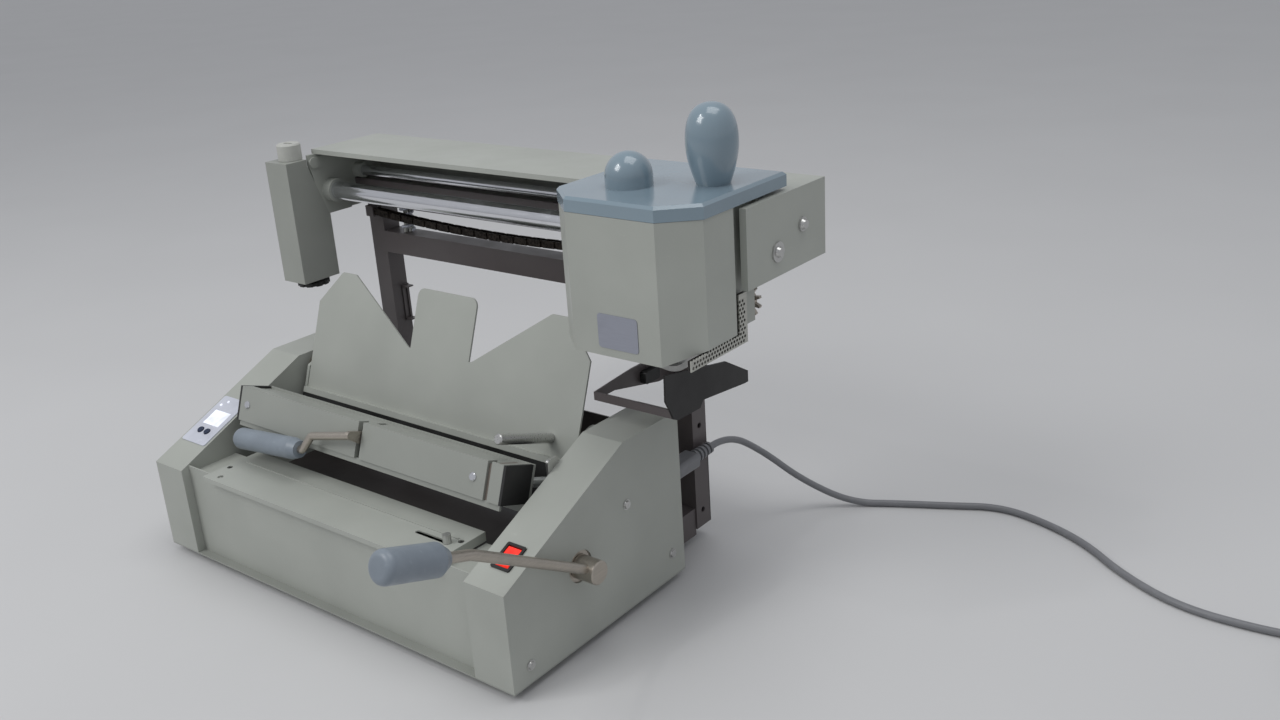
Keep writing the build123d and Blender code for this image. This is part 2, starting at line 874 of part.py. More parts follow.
# Fixed jaw with a cheek at each end and the trunnions that the whole unit turns on.
with BuildPart() as fixed_jaw:
    with BuildSketch(jaw_side(arm_inner)):
        with BuildLine():
            Polyline(
                (fixed_pad - jaw_opening, 0),
                (fixed_pad - jaw_opening, -jaw_drop),
                (-fixed_back, -jaw_drop),
                (-fixed_back, fixed_beam_top),
                (-jaw_opening - backrest_plate, fixed_beam_top),
                (-jaw_opening - backrest_plate, backrest_bottom),
                (-jaw_opening, backrest_bottom),
                (-jaw_opening, 0),
                close=True,
            )
        make_face()
    extrude(amount=2 * arm_inner)
    with BuildSketch(jaw_face(fixed_pad - jaw_opening)):
        with Locations((-rod_x, -rod_drop), (rod_x, -rod_drop)):
            Circle(rod_radius + running_gap)
    extrude(amount=-fixed_back, mode=Mode.SUBTRACT)
    for hand in (-1, 1):
        with BuildSketch(jaw_side(hand * arm_inner)):
            with Locations((-(jaw_opening - cheek_lead + fixed_back) / 2, (fixed_beam_top - jaw_drop) / 2)):
                RectangleRounded(fixed_back - jaw_opening + cheek_lead, fixed_beam_top + jaw_drop, 3)
            with Locations((pivot_ahead, pivot_up)):
                Circle(arm_ring)
            make_hull()
        extrude(amount=-hand * (arm_outer - arm_inner))
        with BuildSketch(jaw_side(hand * arm_outer)):
            with Locations((pivot_ahead, pivot_up)):
                Circle(trunnion_radius)
        extrude(amount=-hand * trunnion_length)
fixed_jaw.part.label = "fixed_jaw"
export_step(fixed_jaw.part, "parts/fixed_jaw.step")

with BuildPart() as side_stop:
    with BuildSketch(jaw_face(-jaw_opening)):
        with Locations((stop_rod_x, stop_rod_up)):
            Circle(stop_rod_radius)
    extrude(amount=stop_rod_length)
    chamfer(side_stop.faces().sort_by(Axis.Y)[0].edges(), length=stop_rod_chamfer)
side_stop.part.label = "side_stop"
export_step(side_stop.part, "parts/side_stop.step")

# Moving jaw: hard plate at the back, folded bar ahead of it, cover plates on the front.
with BuildPart() as jaw_plate_part:
    with BuildSketch(jaw_side(jaw_length / 2)):
        Polygon((0, 0), (0, -jaw_drop), (jaw_plate, -jaw_drop), (jaw_plate, 0), align=None)
    extrude(amount=jaw_length)
jaw_plate_part.part.label = "jaw_plate"
export_step(jaw_plate_part.part, "parts/jaw_plate.step")

with BuildPart() as jaw_bar:
    with BuildSketch(jaw_side(jaw_length / 2 - end_cap)):
        with BuildLine():
            Polyline(
                (jaw_plate, -cover_thick),
                (jaw_depth - cover_thick, -cover_thick),
                (jaw_depth - cover_thick, -jaw_height),
                (jaw_plate, -jaw_height),
                close=True,
            )
        make_face()
        with BuildLine():
            Polyline(
                (jaw_plate, -cover_thick - jaw_wall),
                (jaw_depth - cover_thick - jaw_wall, -cover_thick - jaw_wall),
                (jaw_depth - cover_thick - jaw_wall, -jaw_height + jaw_wall),
                (jaw_plate, -jaw_height + jaw_wall),
                close=True,
            )
        make_face(mode=Mode.SUBTRACT)
    extrude(amount=jaw_length - 2 * end_cap)
    with BuildSketch(jaw_face(jaw_depth)):
        with Locations((0, 0)):
            Rectangle(cover_gap_right - cover_gap_left, 2 * jaw_height)
    extrude(amount=notch_depth - jaw_depth, mode=Mode.SUBTRACT)
    with BuildSketch(jaw_side(handle_pin_half)):
        with Locations((handle_pivot_in, -handle_pivot_drop)):
            Circle(handle_pin_radius)
    extrude(amount=2 * handle_pin_half)
    for hand in (-1, 1):
        with BuildSketch(jaw_side(hand * handle_pin_half)):
            with Locations(((jaw_plate + jaw_depth - cover_thick) / 2, -(jaw_height + cover_thick) / 2)):
                Rectangle(jaw_depth - jaw_plate - cover_thick, jaw_height - cover_thick)
        extrude(amount=-hand * jaw_wall)
jaw_bar.part.label = "jaw_bar"
export_step(jaw_bar.part, "parts/jaw_bar.step")

with BuildPart() as jaw_covers:
    for near, far in ((cover_gap_left, -jaw_length / 2 + end_cap), (cover_gap_right, cover_end)):
        with BuildSketch(jaw_side(max(near, far))):
            with BuildLine():
                Polyline(
                    (jaw_depth - cover_lip, -cover_thick),
                    (jaw_depth - cover_thick, -cover_thick),
                    (jaw_depth - cover_thick, -jaw_height),
                    (jaw_depth, -jaw_height),
                    (jaw_depth, 0),
                    (jaw_depth - cover_lip, 0),
                    close=True,
                )
            make_face()
        extrude(amount=abs(near - far))
    with BuildSketch(jaw_side(jaw_length / 2 - end_cap)):
        with Locations((jaw_depth - cover_thick / 2, -jaw_height / 2)):
            Rectangle(cover_thick, jaw_height)
    extrude(amount=end_strip)
jaw_covers.part.label = "jaw_covers"
export_step(jaw_covers.part, "parts/jaw_covers.step")

with BuildPart() as jaw_end_caps:
    for hand in (-1, 1):
        with BuildSketch(jaw_side(hand * (jaw_length / 2 - end_cap))):
            with BuildLine():
                Polyline(
                    (jaw_plate, 0),
                    (jaw_plate, -jaw_height),
                    (jaw_depth, -jaw_height),
                    (jaw_depth, 0),
                    close=True,
                )
            make_face()
        extrude(amount=-hand * end_cap)
    for hand in (-1, 1):
        with BuildSketch(jaw_side(hand * (jaw_length / 2 - end_cap))):
            with Locations(((jaw_plate + jaw_depth - cover_thick) / 2, -(jaw_height + cover_thick) / 2)):
                Rectangle(
                    jaw_depth - cover_thick - jaw_plate - 2 * jaw_wall,
                    jaw_height - cover_thick - 2 * jaw_wall,
                )
        extrude(amount=hand * end_cap)
jaw_end_caps.part.label = "jaw_end_caps"
export_step(jaw_end_caps.part, "parts/jaw_end_caps.step")

with BuildPart() as guide_rods:
    with BuildSketch(jaw_face(0)):
        with Locations((-rod_x, -rod_drop), (rod_x, -rod_drop)):
            Circle(rod_radius)
    extrude(amount=-fixed_back - rod_tail)
    chamfer(guide_rods.faces().sort_by(Axis.Y)[-2:].edges(), length=stop_rod_chamfer)
guide_rods.part.label = "guide_rods"
export_step(guide_rods.part, "parts/guide_rods.step")

with BuildPart() as jaw_screws:
    with BuildSketch(jaw_face(jaw_depth)):
        with Locations((-jaw_length / 2 + jaw_screw_in, -jaw_height / 2), (cover_end - jaw_screw_in, -jaw_height / 2)):
            Circle(screw_head_radius)
    extrude(amount=screw_head)
    chamfer(jaw_screws.faces().filter_by(Axis((0, 0, 0), jaw_ahead)).sort_by(Axis.Y)[:2].edges(), length=screw_head / 2)
jaw_screws.part.label = "jaw_screws"
export_step(jaw_screws.part, "parts/jaw_screws.step")

# ================= clamp handle =================

rod_start = (handle_pivot_in + handle_arm, handle_rod_up)
clamp_grip_length = math.dist(handle_grip_near, handle_grip_far)
rod_share = 1 - grip_bore_end / clamp_grip_length
handle_rod_end = (
    handle_grip_near[0] + rod_share * (handle_grip_far[0] - handle_grip_near[0]),
    handle_grip_near[1] + rod_share * (handle_grip_far[1] - handle_grip_near[1]),
)
with BuildPart() as clamp_lever:
    with BuildSketch(jaw_side(handle_arm_thick / 2)):
        with Locations((handle_pivot_in, -handle_pivot_drop)):
            Circle(handle_pin_radius + handle_ring)
        with Locations(rod_start):
            Circle(handle_rod_radius)
        make_hull()
        with Locations((handle_pivot_in, -handle_pivot_drop)):
            Circle(handle_pin_radius + running_gap, mode=Mode.SUBTRACT)
    extrude(amount=handle_arm_thick)
    with BuildLine(jaw_face(handle_pivot_in + handle_arm)) as handle_path:
        FilletPolyline(
            (handle_arm_thick / 2, handle_rod_up),
            handle_knee,
            handle_grip_near,
            handle_rod_end,
            radius=handle_bend,
        )
    with BuildSketch(Plane(origin=handle_path.line @ 0, z_dir=handle_path.line % 0)):
        Circle(handle_rod_radius)
    sweep(path=handle_path.line)
clamp_lever.part.label = "clamp_lever"
export_step(clamp_lever.part, "parts/clamp_lever.step")

handle_plane = jaw_face(handle_pivot_in + handle_arm)
clamp_grip_near = handle_plane.from_local_coords(Vector(handle_grip_near[0], handle_grip_near[1], 0))
clamp_grip_far = handle_plane.from_local_coords(Vector(handle_grip_far[0], handle_grip_far[1], 0))
clamp_grip_run = (clamp_grip_far - clamp_grip_near).normalized()
with BuildPart() as clamp_grip:
    with BuildSketch(Plane(origin=clamp_grip_near, x_dir=jaw_ahead, z_dir=jaw_ahead.cross(clamp_grip_run))):
        with BuildLine():
            Polyline(
                (handle_rod_radius, clamp_grip_neck),
                (grip_neck_radius, clamp_grip_neck),
                (handle_grip_radius, grip_neck + clamp_grip_neck),
                (handle_grip_radius, clamp_grip_length - grip_round),
            )
            RadiusArc(
                (handle_grip_radius, clamp_grip_length - grip_round),
                (handle_grip_radius - grip_round, clamp_grip_length),
                -grip_round,
            )
            Polyline(
                (handle_grip_radius - grip_round, clamp_grip_length),
                (0, clamp_grip_length),
                (0, clamp_grip_length - grip_bore_end),
                (handle_rod_radius, clamp_grip_length - grip_bore_end),
                (handle_rod_radius, clamp_grip_neck),
            )
        make_face()
    revolve(axis=Axis(clamp_grip_near, clamp_grip_run))
clamp_grip.part.label = "clamp_grip"
export_step(clamp_grip.part, "parts/clamp_grip.step")

# Catch for the clamp unit on the right housing's inner wall.
with BuildPart() as lock_catch:
    with BuildSketch(side(inner_wall - catch_thick)):
        with Locations((catch_y, catch_z)):
            RectangleRounded(catch_deep, catch_high, catch_round)
    extrude(amount=catch_thick)
    with BuildSketch(side(inner_wall - catch_reach)):
        with Locations((catch_y, catch_z + catch_high / 4)):
            Circle(screw_head_radius)
    extrude(amount=catch_reach - catch_thick)
lock_catch.part.label = "lock_catch"
export_step(lock_catch.part, "parts/lock_catch.step")

# ================= gantry =================

def chain_height(x):
    return chain_low_z + chain_curve * (x - chain_low_x) ** 2


def box_tube(width, height):
    """A welded box section about the sketch's current place."""
    Rectangle(width, height)
    Rectangle(width - 2 * post_wall, height - 2 * post_wall, mode=Mode.SUBTRACT)


post_width = post_outer - post_inner
post_back = post_front + post_depth
post_mid_y = (post_front + post_back) / 2
beam_left = hood_left + sheet
beam_right = hood_right - sheet
link_count = int((chain_right - chain_left) / chain_pitch)
link_overhang = chain_plate_height * 0.4
chain_far = chain_left + link_count * chain_pitch

# Welded gantry frame: arms from the base, two posts, the cross bar and the top beam.
with BuildPart() as gantry_frame:
    with BuildSketch(front(arm_front)):
        with Locations((-arm_x, arm_bottom + arm_high / 2), (arm_x, arm_bottom + arm_high / 2)):
            box_tube(arm_wide, arm_high)
    extrude(amount=arm_front - post_front)
    with BuildSketch(plan(post_bottom)):
        with Locations((0, post_mid_y)):
            with GridLocations(post_inner + post_outer, 0, 2, 1):
                box_tube(post_width, post_depth)
    extrude(amount=beam_bottom - post_bottom)
    with BuildSketch(side(post_outer + post_wall)):
        with Locations((post_mid_y, post_hole_low), (post_mid_y, post_hole_high)):
            Circle(slot_hole_radius)
    extrude(amount=-2 * post_outer - 2 * post_wall, mode=Mode.SUBTRACT)
    with BuildSketch(side(-post_inner)):
        with Locations((post_mid_y, (crossbar_bottom + crossbar_top) / 2)):
            box_tube(post_depth, crossbar_top - crossbar_bottom)
    extrude(amount=2 * post_inner)
    with BuildSketch(side(beam_left)):
        with Locations((post_mid_y, (beam_bottom + beam_top) / 2)):
            box_tube(post_depth, beam_top - beam_bottom)
    extrude(amount=beam_right - beam_left)
    with BuildSketch(side(-post_inner)):
        with Locations((bracket_y, bracket_z)):
            Rectangle(bracket_deep, bracket_high)
            SlotOverall(bracket_high - bracket_deep / 2, bracket_slot, rotation=90, mode=Mode.SUBTRACT)
    extrude(amount=sheet)
    with BuildSketch(side(-post_inner + sheet)):
        with Locations((bracket_y, bracket_z)):
            with GridLocations(0, bracket_high - bracket_slot, 1, 2):
                Rectangle(bracket_deep, sheet)
    extrude(amount=bracket_lug)
    with BuildSketch(front(post_front)):
        with Locations((chain_left - link_overhang - 2 * seat_gap, chain_height(chain_left))):
            Rectangle(anchor_wide, anchor_high, align=(Align.MAX, Align.CENTER))
        with Locations((chain_far + link_overhang + 2 * seat_gap, chain_height(chain_far))):
            Rectangle(anchor_wide / 2, anchor_high, align=(Align.MIN, Align.CENTER))
    extrude(amount=anchor_deep)
gantry_frame.part.label = "gantry_frame"
export_step(gantry_frame.part, "parts/gantry_frame.step")

with BuildPart() as rear_panel:
    with BuildSketch(front(post_front + post_depth + sheet)):
        with Locations((0, post_bottom)):
            Rectangle(2 * post_outer, rear_panel_top - post_bottom, align=(Align.CENTER, Align.MIN))
    extrude(amount=sheet)
    with BuildSketch(plan(post_bottom)):
        with Locations((0, post_front + post_depth)):
            Rectangle(2 * post_inner - sheet, rear_panel_flange, align=(Align.CENTER, Align.MAX))
    extrude(amount=sheet)
rear_panel.part.label = "rear_panel"
export_step(rear_panel.part, "parts/rear_panel.step")

# Hood over the rails, folded down at the back and at the left end.
with BuildPart() as hood:
    with BuildSketch(side(hood_left)):
        with BuildLine():
            Polyline(
                (hood_front, hood_top - hood_lip),
                (hood_front, hood_top),
                (hood_back, hood_top),
                (hood_back, hood_bottom),
                (hood_back - sheet, hood_bottom),
                (hood_back - sheet, hood_top - sheet),
                (hood_front + sheet, hood_top - sheet),
                (hood_front + sheet, hood_top - hood_lip),
                close=True,
            )
        make_face()
    extrude(amount=hood_right - sheet - hood_left)
    with BuildSketch(side(hood_left)):
        with BuildLine():
            Polyline(
                (end_plate_front, end_plate_bottom),
                (end_plate_front, hood_top - sheet),
                (hood_back, hood_top - sheet),
                (hood_back, end_plate_bottom),
                close=True,
            )
        make_face()
        with Locations((rail_y, rail_z), (rear_rail_y, rear_rail_z)):
            Circle(rail_end_radius, mode=Mode.SUBTRACT)
    extrude(amount=sheet)
hood.part.label = "hood"
export_step(hood.part, "parts/hood.step")

with BuildPart() as right_end_cover:
    with BuildSketch(side(hood_right - sheet)):
        with BuildLine():
            Polyline(
                (end_cover_front, end_cover_bottom),
                (end_cover_front, hood_top),
                (hood_back, hood_top),
                (hood_back, end_cover_bottom),
                close=True,
            )
        make_face()
    extrude(amount=sheet)
    with BuildSketch(front(end_cover_front + sheet)):
        with Locations((hood_right - sheet, end_cover_bottom)):
            Rectangle(end_cover_flange - sheet, hood_top - end_cover_bottom, align=(Align.MAX, Align.MIN))
    extrude(amount=sheet)
    with BuildSketch(plan(hood_top - sheet)):
        with Locations((hood_right - sheet, end_cover_front)):
            Rectangle(end_cover_flange - sheet, hood_front - end_cover_front, align=(Align.MAX, Align.MIN))
    extrude(amount=sheet)
    with BuildSketch(side(hood_right - sheet)):
        with Locations((rail_y, rail_z)):
            Circle(rail_end_radius)
        with Locations((rear_rail_y, rear_rail_z)):
            Circle(rail_end_radius)
    extrude(amount=sheet, mode=Mode.SUBTRACT)
right_end_cover.part.label = "right_end_cover"
export_step(right_end_cover.part, "parts/right_end_cover.step")

with BuildPart() as guide_rails:
    with BuildSketch(side(beam_left)):
        with Locations((rail_y, rail_z)):
            Circle(rail_radius)
        with Locations((rear_rail_y, rear_rail_z)):
            Circle(rear_rail_radius)
    extrude(amount=beam_right - beam_left)
guide_rails.part.label = "guide_rails"
export_step(guide_rails.part, "parts/guide_rails.step")

with BuildPart() as rail_bolts:
    for foot, way in ((beam_left, -1), (beam_right, 1)):
        with BuildSketch(side(foot)):
            with Locations((rail_y, rail_z), (rear_rail_y, rear_rail_z)):
                Circle(rail_end_radius)
        extrude(amount=way * sheet)
        with BuildSketch(side(foot + way * sheet)):
            with Locations((rail_y, rail_z)):
                Circle(rail_washer_radius)
            with Locations((rear_rail_y, rear_rail_z)):
                Circle(rear_washer_radius)
        extrude(amount=way * rail_washer)
        with BuildSketch(side(foot + way * (sheet + rail_washer))):
            with Locations((rail_y, rail_z), (rear_rail_y, rear_rail_z)):
                Circle(screw_head_radius + 1)
        extrude(amount=way * (end_bolt_reach - rail_washer), taper=20)
rail_bolts.part.label = "rail_bolts"
export_step(rail_bolts.part, "parts/rail_bolts.step")

# Roller chain lying in its own sag behind the front rail.


def link_spots(first, share):
    """Every second link from the first, at a share of the pitch along it, lying in the sag."""
    spots = []
    for link in range(first, link_count, 2):
        x = chain_left + link * chain_pitch
        rise = chain_height(x + chain_pitch) - chain_height(x)
        spots.append(
            Location(
                (x + share * chain_pitch, chain_height(x) + share * rise),
                math.degrees(math.atan2(rise, chain_pitch)),
            )
        )
    return spots


with BuildPart() as drive_chain:
    with BuildSketch(front(chain_y + chain_inner_half + chain_plate)):
        with Locations(link_spots(0, 0.0) + link_spots(1, 0.0)):
            RegularPolygon(chain_roller_radius, 8)
    extrude(amount=2 * chain_inner_half + 2 * chain_plate)
    for first, out in ((0, chain_inner_half), (1, chain_inner_half + chain_plate)):
        for hand in (-1, 1):
            with BuildSketch(front(chain_y + hand * out)):
                with Locations(link_spots(first, 0.5)):
                    Rectangle(chain_pitch + 2 * link_overhang, chain_plate_height)
            extrude(amount=-hand * chain_plate)
drive_chain.part.label = "drive_chain"
export_step(drive_chain.part, "parts/drive_chain.step")

# ================= glue carriage =================


def carriage_plan(inset):
    """Half of the carriage's plan as corner points, its walls moved in."""
    turn = inset * 0.45
    return [
        (body_left + inset, body_back),
        (body_left + inset, body_front + body_chamfer_y + turn),
        (body_left + body_chamfer_x + turn, body_front + inset),
        (body_right - body_chamfer_x - turn, body_front + inset),
        (body_right - inset, body_front + body_chamfer_y + turn),
        (body_right - inset, body_side_back - turn),
        (body_step - inset, body_side_back + 4 - turn),
        (body_step - inset, body_back),
    ]


with BuildPart() as carriage_shell:
    with BuildSketch(plan(body_bottom)):
        with BuildLine():
            Polyline(carriage_plan(0), close=True)
        make_face()
        with BuildLine():
            Polyline(carriage_plan(sheet), close=True)
        make_face(mode=Mode.SUBTRACT)
    extrude(amount=body_top - body_bottom)
    with BuildSketch(front(body_back)):
        with Locations((body_left + sheet, back_wall_bottom)):
            Rectangle(body_step - body_left - 2 * sheet, body_top - back_wall_bottom, align=(Align.MIN, Align.MIN))
    extrude(amount=sheet)
    with BuildSketch(side(body_right + sheet)):
        with BuildLine():
            Polyline(
                (body_front - 1, body_bottom - 1),
                (body_front, body_bottom),
                (body_front + body_chamfer_y, body_side_bottom),
                (body_back + 1, body_side_bottom),
                (body_back + 1, body_bottom - 1),
                close=True,
            )
        make_face()
    extrude(amount=-body_chamfer_x - 2 * sheet, mode=Mode.SUBTRACT)
carriage_shell.part.label = "carriage_shell"
export_step(carriage_shell.part, "parts/carriage_shell.step")

with BuildPart() as side_guard:
    with BuildSketch(side(body_right - sheet - guard_thick)):
        with BuildLine():
            Polyline(
                (guard_front, body_bottom),
                (guard_front, guard_low_top),
                (guard_step, guard_low_top),
                (guard_step, guard_top),
                (guard_dip_front, guard_top),
                (guard_dip_front, guard_low_top),
                (guard_dip_back, guard_low_top),
                (guard_dip_back, guard_top),
                (guard_back, guard_top),
                (guard_back, body_bottom),
                close=True,
            )
        make_face()
        with Locations(((guard_front + guard_back) / 2, (body_bottom + guard_low_top) / 2)):
            with GridLocations(guard_pitch, guard_pitch * 0.8, 13, 2):
                Circle(guard_hole, mode=Mode.SUBTRACT)
        with Locations(((guard_dip_back + guard_back) / 2, (guard_low_top + guard_top) / 2)):
            with GridLocations(guard_pitch, guard_pitch * 0.8, 2, 6):
                Circle(guard_hole, mode=Mode.SUBTRACT)
    extrude(amount=guard_thick)
side_guard.part.label = "side_guard"
export_step(side_guard.part, "parts/side_guard.step")

with BuildPart() as blank_plate:
    with BuildSketch(front(body_front)):
        with Locations(((plate_left + plate_right) / 2, (plate_low + plate_high) / 2)):
            RectangleRounded(plate_right - plate_left, plate_high - plate_low, plate_round)
    extrude(amount=plate_thick)
blank_plate.part.label = "blank_plate"
export_step(blank_plate.part, "parts/blank_plate.step")

with BuildPart() as rail_block:
    with BuildSketch(side(block_left)):
        with Locations(((block_front + block_back) / 2, (block_bottom + block_top) / 2)):
            Rectangle(block_back - block_front, block_top - block_bottom)
        with Locations((rail_y, rail_z)):
            Circle(rail_radius + running_gap, mode=Mode.SUBTRACT)
    extrude(amount=block_right - block_left)
    with BuildSketch(side(guide_left)):
        with BuildLine():
            Polyline(
                (block_back, block_top),
                (block_back, guide_bottom),
                (rear_rail_y + guide_radius, guide_bottom),
                (rear_rail_y + guide_radius, block_top + 6),
                (block_back, block_top + 6),
                (block_front + 4, block_top + 6),
                (block_front + 4, block_top),
                close=True,
            )
        make_face()
        with Locations((rear_rail_y, rear_rail_z)):
            Circle(rear_rail_radius + running_gap, mode=Mode.SUBTRACT)
    extrude(amount=guide_width)
    with BuildSketch(front(hanger_front + hanger_thick)):
        with BuildLine():
            Polyline(
                (hanger_left, block_bottom),
                (hanger_left, hanger_shoulder),
                (wheel_x - hanger_foot, hanger_bottom),
                (sprocket_x + hanger_foot, hanger_bottom),
                (hanger_right, hanger_shoulder),
                (hanger_right, block_bottom),
                close=True,
            )
        make_face()
        with Locations((wheel_x, wheel_z)):
            Circle(wheel_shaft_radius + running_gap, mode=Mode.SUBTRACT)
        with Locations((sprocket_x, sprocket_z)):
            Circle(sprocket_shaft_radius + running_gap, mode=Mode.SUBTRACT)
    extrude(amount=hanger_thick)
rail_block.part.label = "rail_block"
export_step(rail_block.part, "parts/rail_block.step")

with BuildPart() as glue_pot:
    with BuildSketch(plan(pot_bottom)):
        with Locations(((pot_left + pot_right) / 2, (pot_front + pot_back) / 2)):
            RectangleRounded(pot_right - pot_left, pot_back - pot_front, pot_round)
    extrude(amount=pot_top - pot_bottom)
    with BuildSketch(plan(pot_bottom + pot_floor)):
        with Locations(((pot_left + pot_right) / 2, (pot_front + pot_back) / 2)):
            RectangleRounded(pot_right - pot_left - 2 * pot_wall, pot_back - pot_front - 2 * pot_wall, pot_round - pot_wall)
    extrude(amount=pot_top - pot_bottom, mode=Mode.SUBTRACT)
    with BuildSketch(plan(pot_flange_z)):
        with Locations((body_left + sheet, pot_back)):
            Rectangle(pot_left - body_left - sheet, pot_flange_deep, align=(Align.MIN, Align.MAX))
        with Locations((pot_right, pot_back)):
            Rectangle(body_right - sheet - pot_right, pot_flange_deep, align=(Align.MIN, Align.MAX))
    extrude(amount=pot_wall)
glue_pot.part.label = "glue_pot"
export_step(glue_pot.part, "parts/glue_pot.step")


def gear_outline(teeth, module):
    """Corner points of a straight-sided spur gear."""
    corners = []
    for tooth in range(teeth):
        for share, reach in ((0.0, -1.2), (0.22, -1.2), (0.38, 0.85), (0.62, 0.85), (0.78, -1.2)):
            turn = 2 * math.pi * (tooth + share) / teeth
            reach_out = teeth * module / 2 + reach * module
            corners.append((reach_out * math.cos(turn), reach_out * math.sin(turn)))
    return corners


def spin_plane(x, y, z, turn):
    """A plane facing the operator with its middle on a shaft, turned about it."""
    around = math.radians(turn)
    return Plane(origin=place(x, y, z), x_dir=(math.cos(around), 0, math.sin(around)), z_dir=(0, -1, 0))


mesh_turn = math.degrees(math.atan2(sprocket_z - wheel_z, sprocket_x - wheel_x))
with BuildPart() as glue_wheel:
    with BuildSketch(front(wheel_back)):
        with Locations((wheel_x, wheel_z)):
            Circle(wheel_radius)
    extrude(amount=wheel_back - wheel_front)
    with BuildSketch(front(wheel_front)):
        with Locations((wheel_x, wheel_z)):
            Circle(wheel_radius - wheel_rim)
            Circle(wheel_hub_radius, mode=Mode.SUBTRACT)
    extrude(amount=-wheel_dish, mode=Mode.SUBTRACT)
    with BuildSketch(front(wheel_back)):
        with Locations((wheel_x, wheel_z)):
            Circle(wheel_shaft_radius)
    extrude(amount=wheel_back - gear_front - gear_width)
    with BuildSketch(spin_plane(wheel_x, gear_front + gear_width, wheel_z, mesh_turn)):
        with BuildLine():
            Polyline(gear_outline(wheel_gear_teeth, gear_module), close=True)
        make_face()
    extrude(amount=gear_width)
glue_wheel.part.label = "glue_wheel"
export_step(glue_wheel.part, "parts/glue_wheel.step")

with BuildPart() as sprocket:
    with BuildSketch(spin_plane(sprocket_x, chain_y + chain_inner_half - seat_gap, sprocket_z, 0)):
        with BuildLine():
            Polyline(gear_outline(sprocket_teeth, sprocket_module), close=True)
        make_face()
    extrude(amount=2 * chain_inner_half - 2 * seat_gap)
    with BuildSketch(front(chain_y)):
        with Locations((sprocket_x, sprocket_z)):
            Circle(sprocket_shaft_radius)
    extrude(amount=chain_y - hanger_front)
    with BuildSketch(spin_plane(sprocket_x, gear_front + gear_width, sprocket_z, mesh_turn)):
        with BuildLine():
            Polyline(gear_outline(pinion_teeth, gear_module), close=True)
        make_face()
    extrude(amount=gear_width)
sprocket.part.label = "sprocket"
export_step(sprocket.part, "parts/sprocket.step")

with BuildPart() as carriage_lid:
    with BuildSketch(plan(body_top + seat_gap)):
        with BuildLine():
            Polyline(
                (body_left - lid_overhang, lid_back),
                (body_left - lid_overhang, body_front + body_chamfer_y),
                (body_left + body_chamfer_x, body_front),
                (body_right - body_chamfer_x, body_front),
                (body_right + lid_overhang, body_front + body_chamfer_y),
                (body_right + lid_overhang, lid_back),
                close=True,
            )
        make_face()
    extrude(amount=lid_height - seat_gap)
    offset(amount=-lid_wall, openings=carriage_lid.faces().sort_by(Axis.Z)[0])
    chamfer(carriage_lid.faces().sort_by(Axis.Z)[-1].outer_wire().edges(), length=lid_round)
carriage_lid.part.label = "carriage_lid"
export_step(carriage_lid.part, "parts/carriage_lid.step")

lid_top = body_top + lid_height
with BuildPart() as dome_knob:
    with BuildSketch(front(dome_y)):
        with BuildLine():
            Polyline(
                (dome_x, lid_top + dome_height),
                (dome_x, lid_top),
                (dome_x + dome_radius, lid_top),
                (dome_x + dome_radius, lid_top + dome_height - dome_radius),
            )
            RadiusArc(
                (dome_x + dome_radius, lid_top + dome_height - dome_radius),
                (dome_x, lid_top + dome_height),
                -dome_radius,
            )
        make_face()
    revolve(axis=Axis(place(dome_x, dome_y, lid_top), (0, 0, 1)))
dome_knob.part.label = "dome_knob"
export_step(dome_knob.part, "parts/dome_knob.step")

with BuildPart() as egg_knob:
    with BuildSketch(front(egg_y)):
        with BuildLine():
            Polyline((egg_x, lid_top + egg_height), (egg_x, lid_top), (egg_x + egg_base_radius, lid_top))
            Spline(
                (egg_x + egg_base_radius, lid_top),
                (egg_x + egg_radius * 0.9, lid_top + egg_height * 0.26),
                (egg_x + egg_radius, lid_top + egg_height * 0.58),
                (egg_x, lid_top + egg_height),
                tangents=((0.35, 1), (-1, 0)),
            )
        make_face()
    revolve(axis=Axis(place(egg_x, egg_y, lid_top), (0, 0, 1)))
egg_knob.part.label = "egg_knob"
export_step(egg_knob.part, "parts/egg_knob.step")

# ================= milling head =================

mill_left = mill_right - mill_width
mill_axis_x = mill_left + mill_width / 2
with BuildPart() as mill_box:
    with BuildSketch(side(mill_left)):
        with BuildLine():
            Polyline(
                (mill_front, mill_bottom),
                (mill_back, mill_bottom),
                (mill_back, mill_chamfer_foot),
                (mill_top_back, mill_chamfer_z),
                (mill_top_back, mill_top),
                (mill_front, mill_top),
                close=True,
            )
        make_face()
    extrude(amount=mill_width)
    offset(amount=-sheet, openings=mill_box.faces().sort_by(Axis.Z)[0])
    with BuildSketch(plan(mill_top)):
        with Locations((mill_axis_x, mill_knob_y)):
            Circle(knob_shaft_radius + running_gap)
    extrude(amount=-2 * sheet, mode=Mode.SUBTRACT)
mill_box.part.label = "mill_box"
export_step(mill_box.part, "parts/mill_box.step")

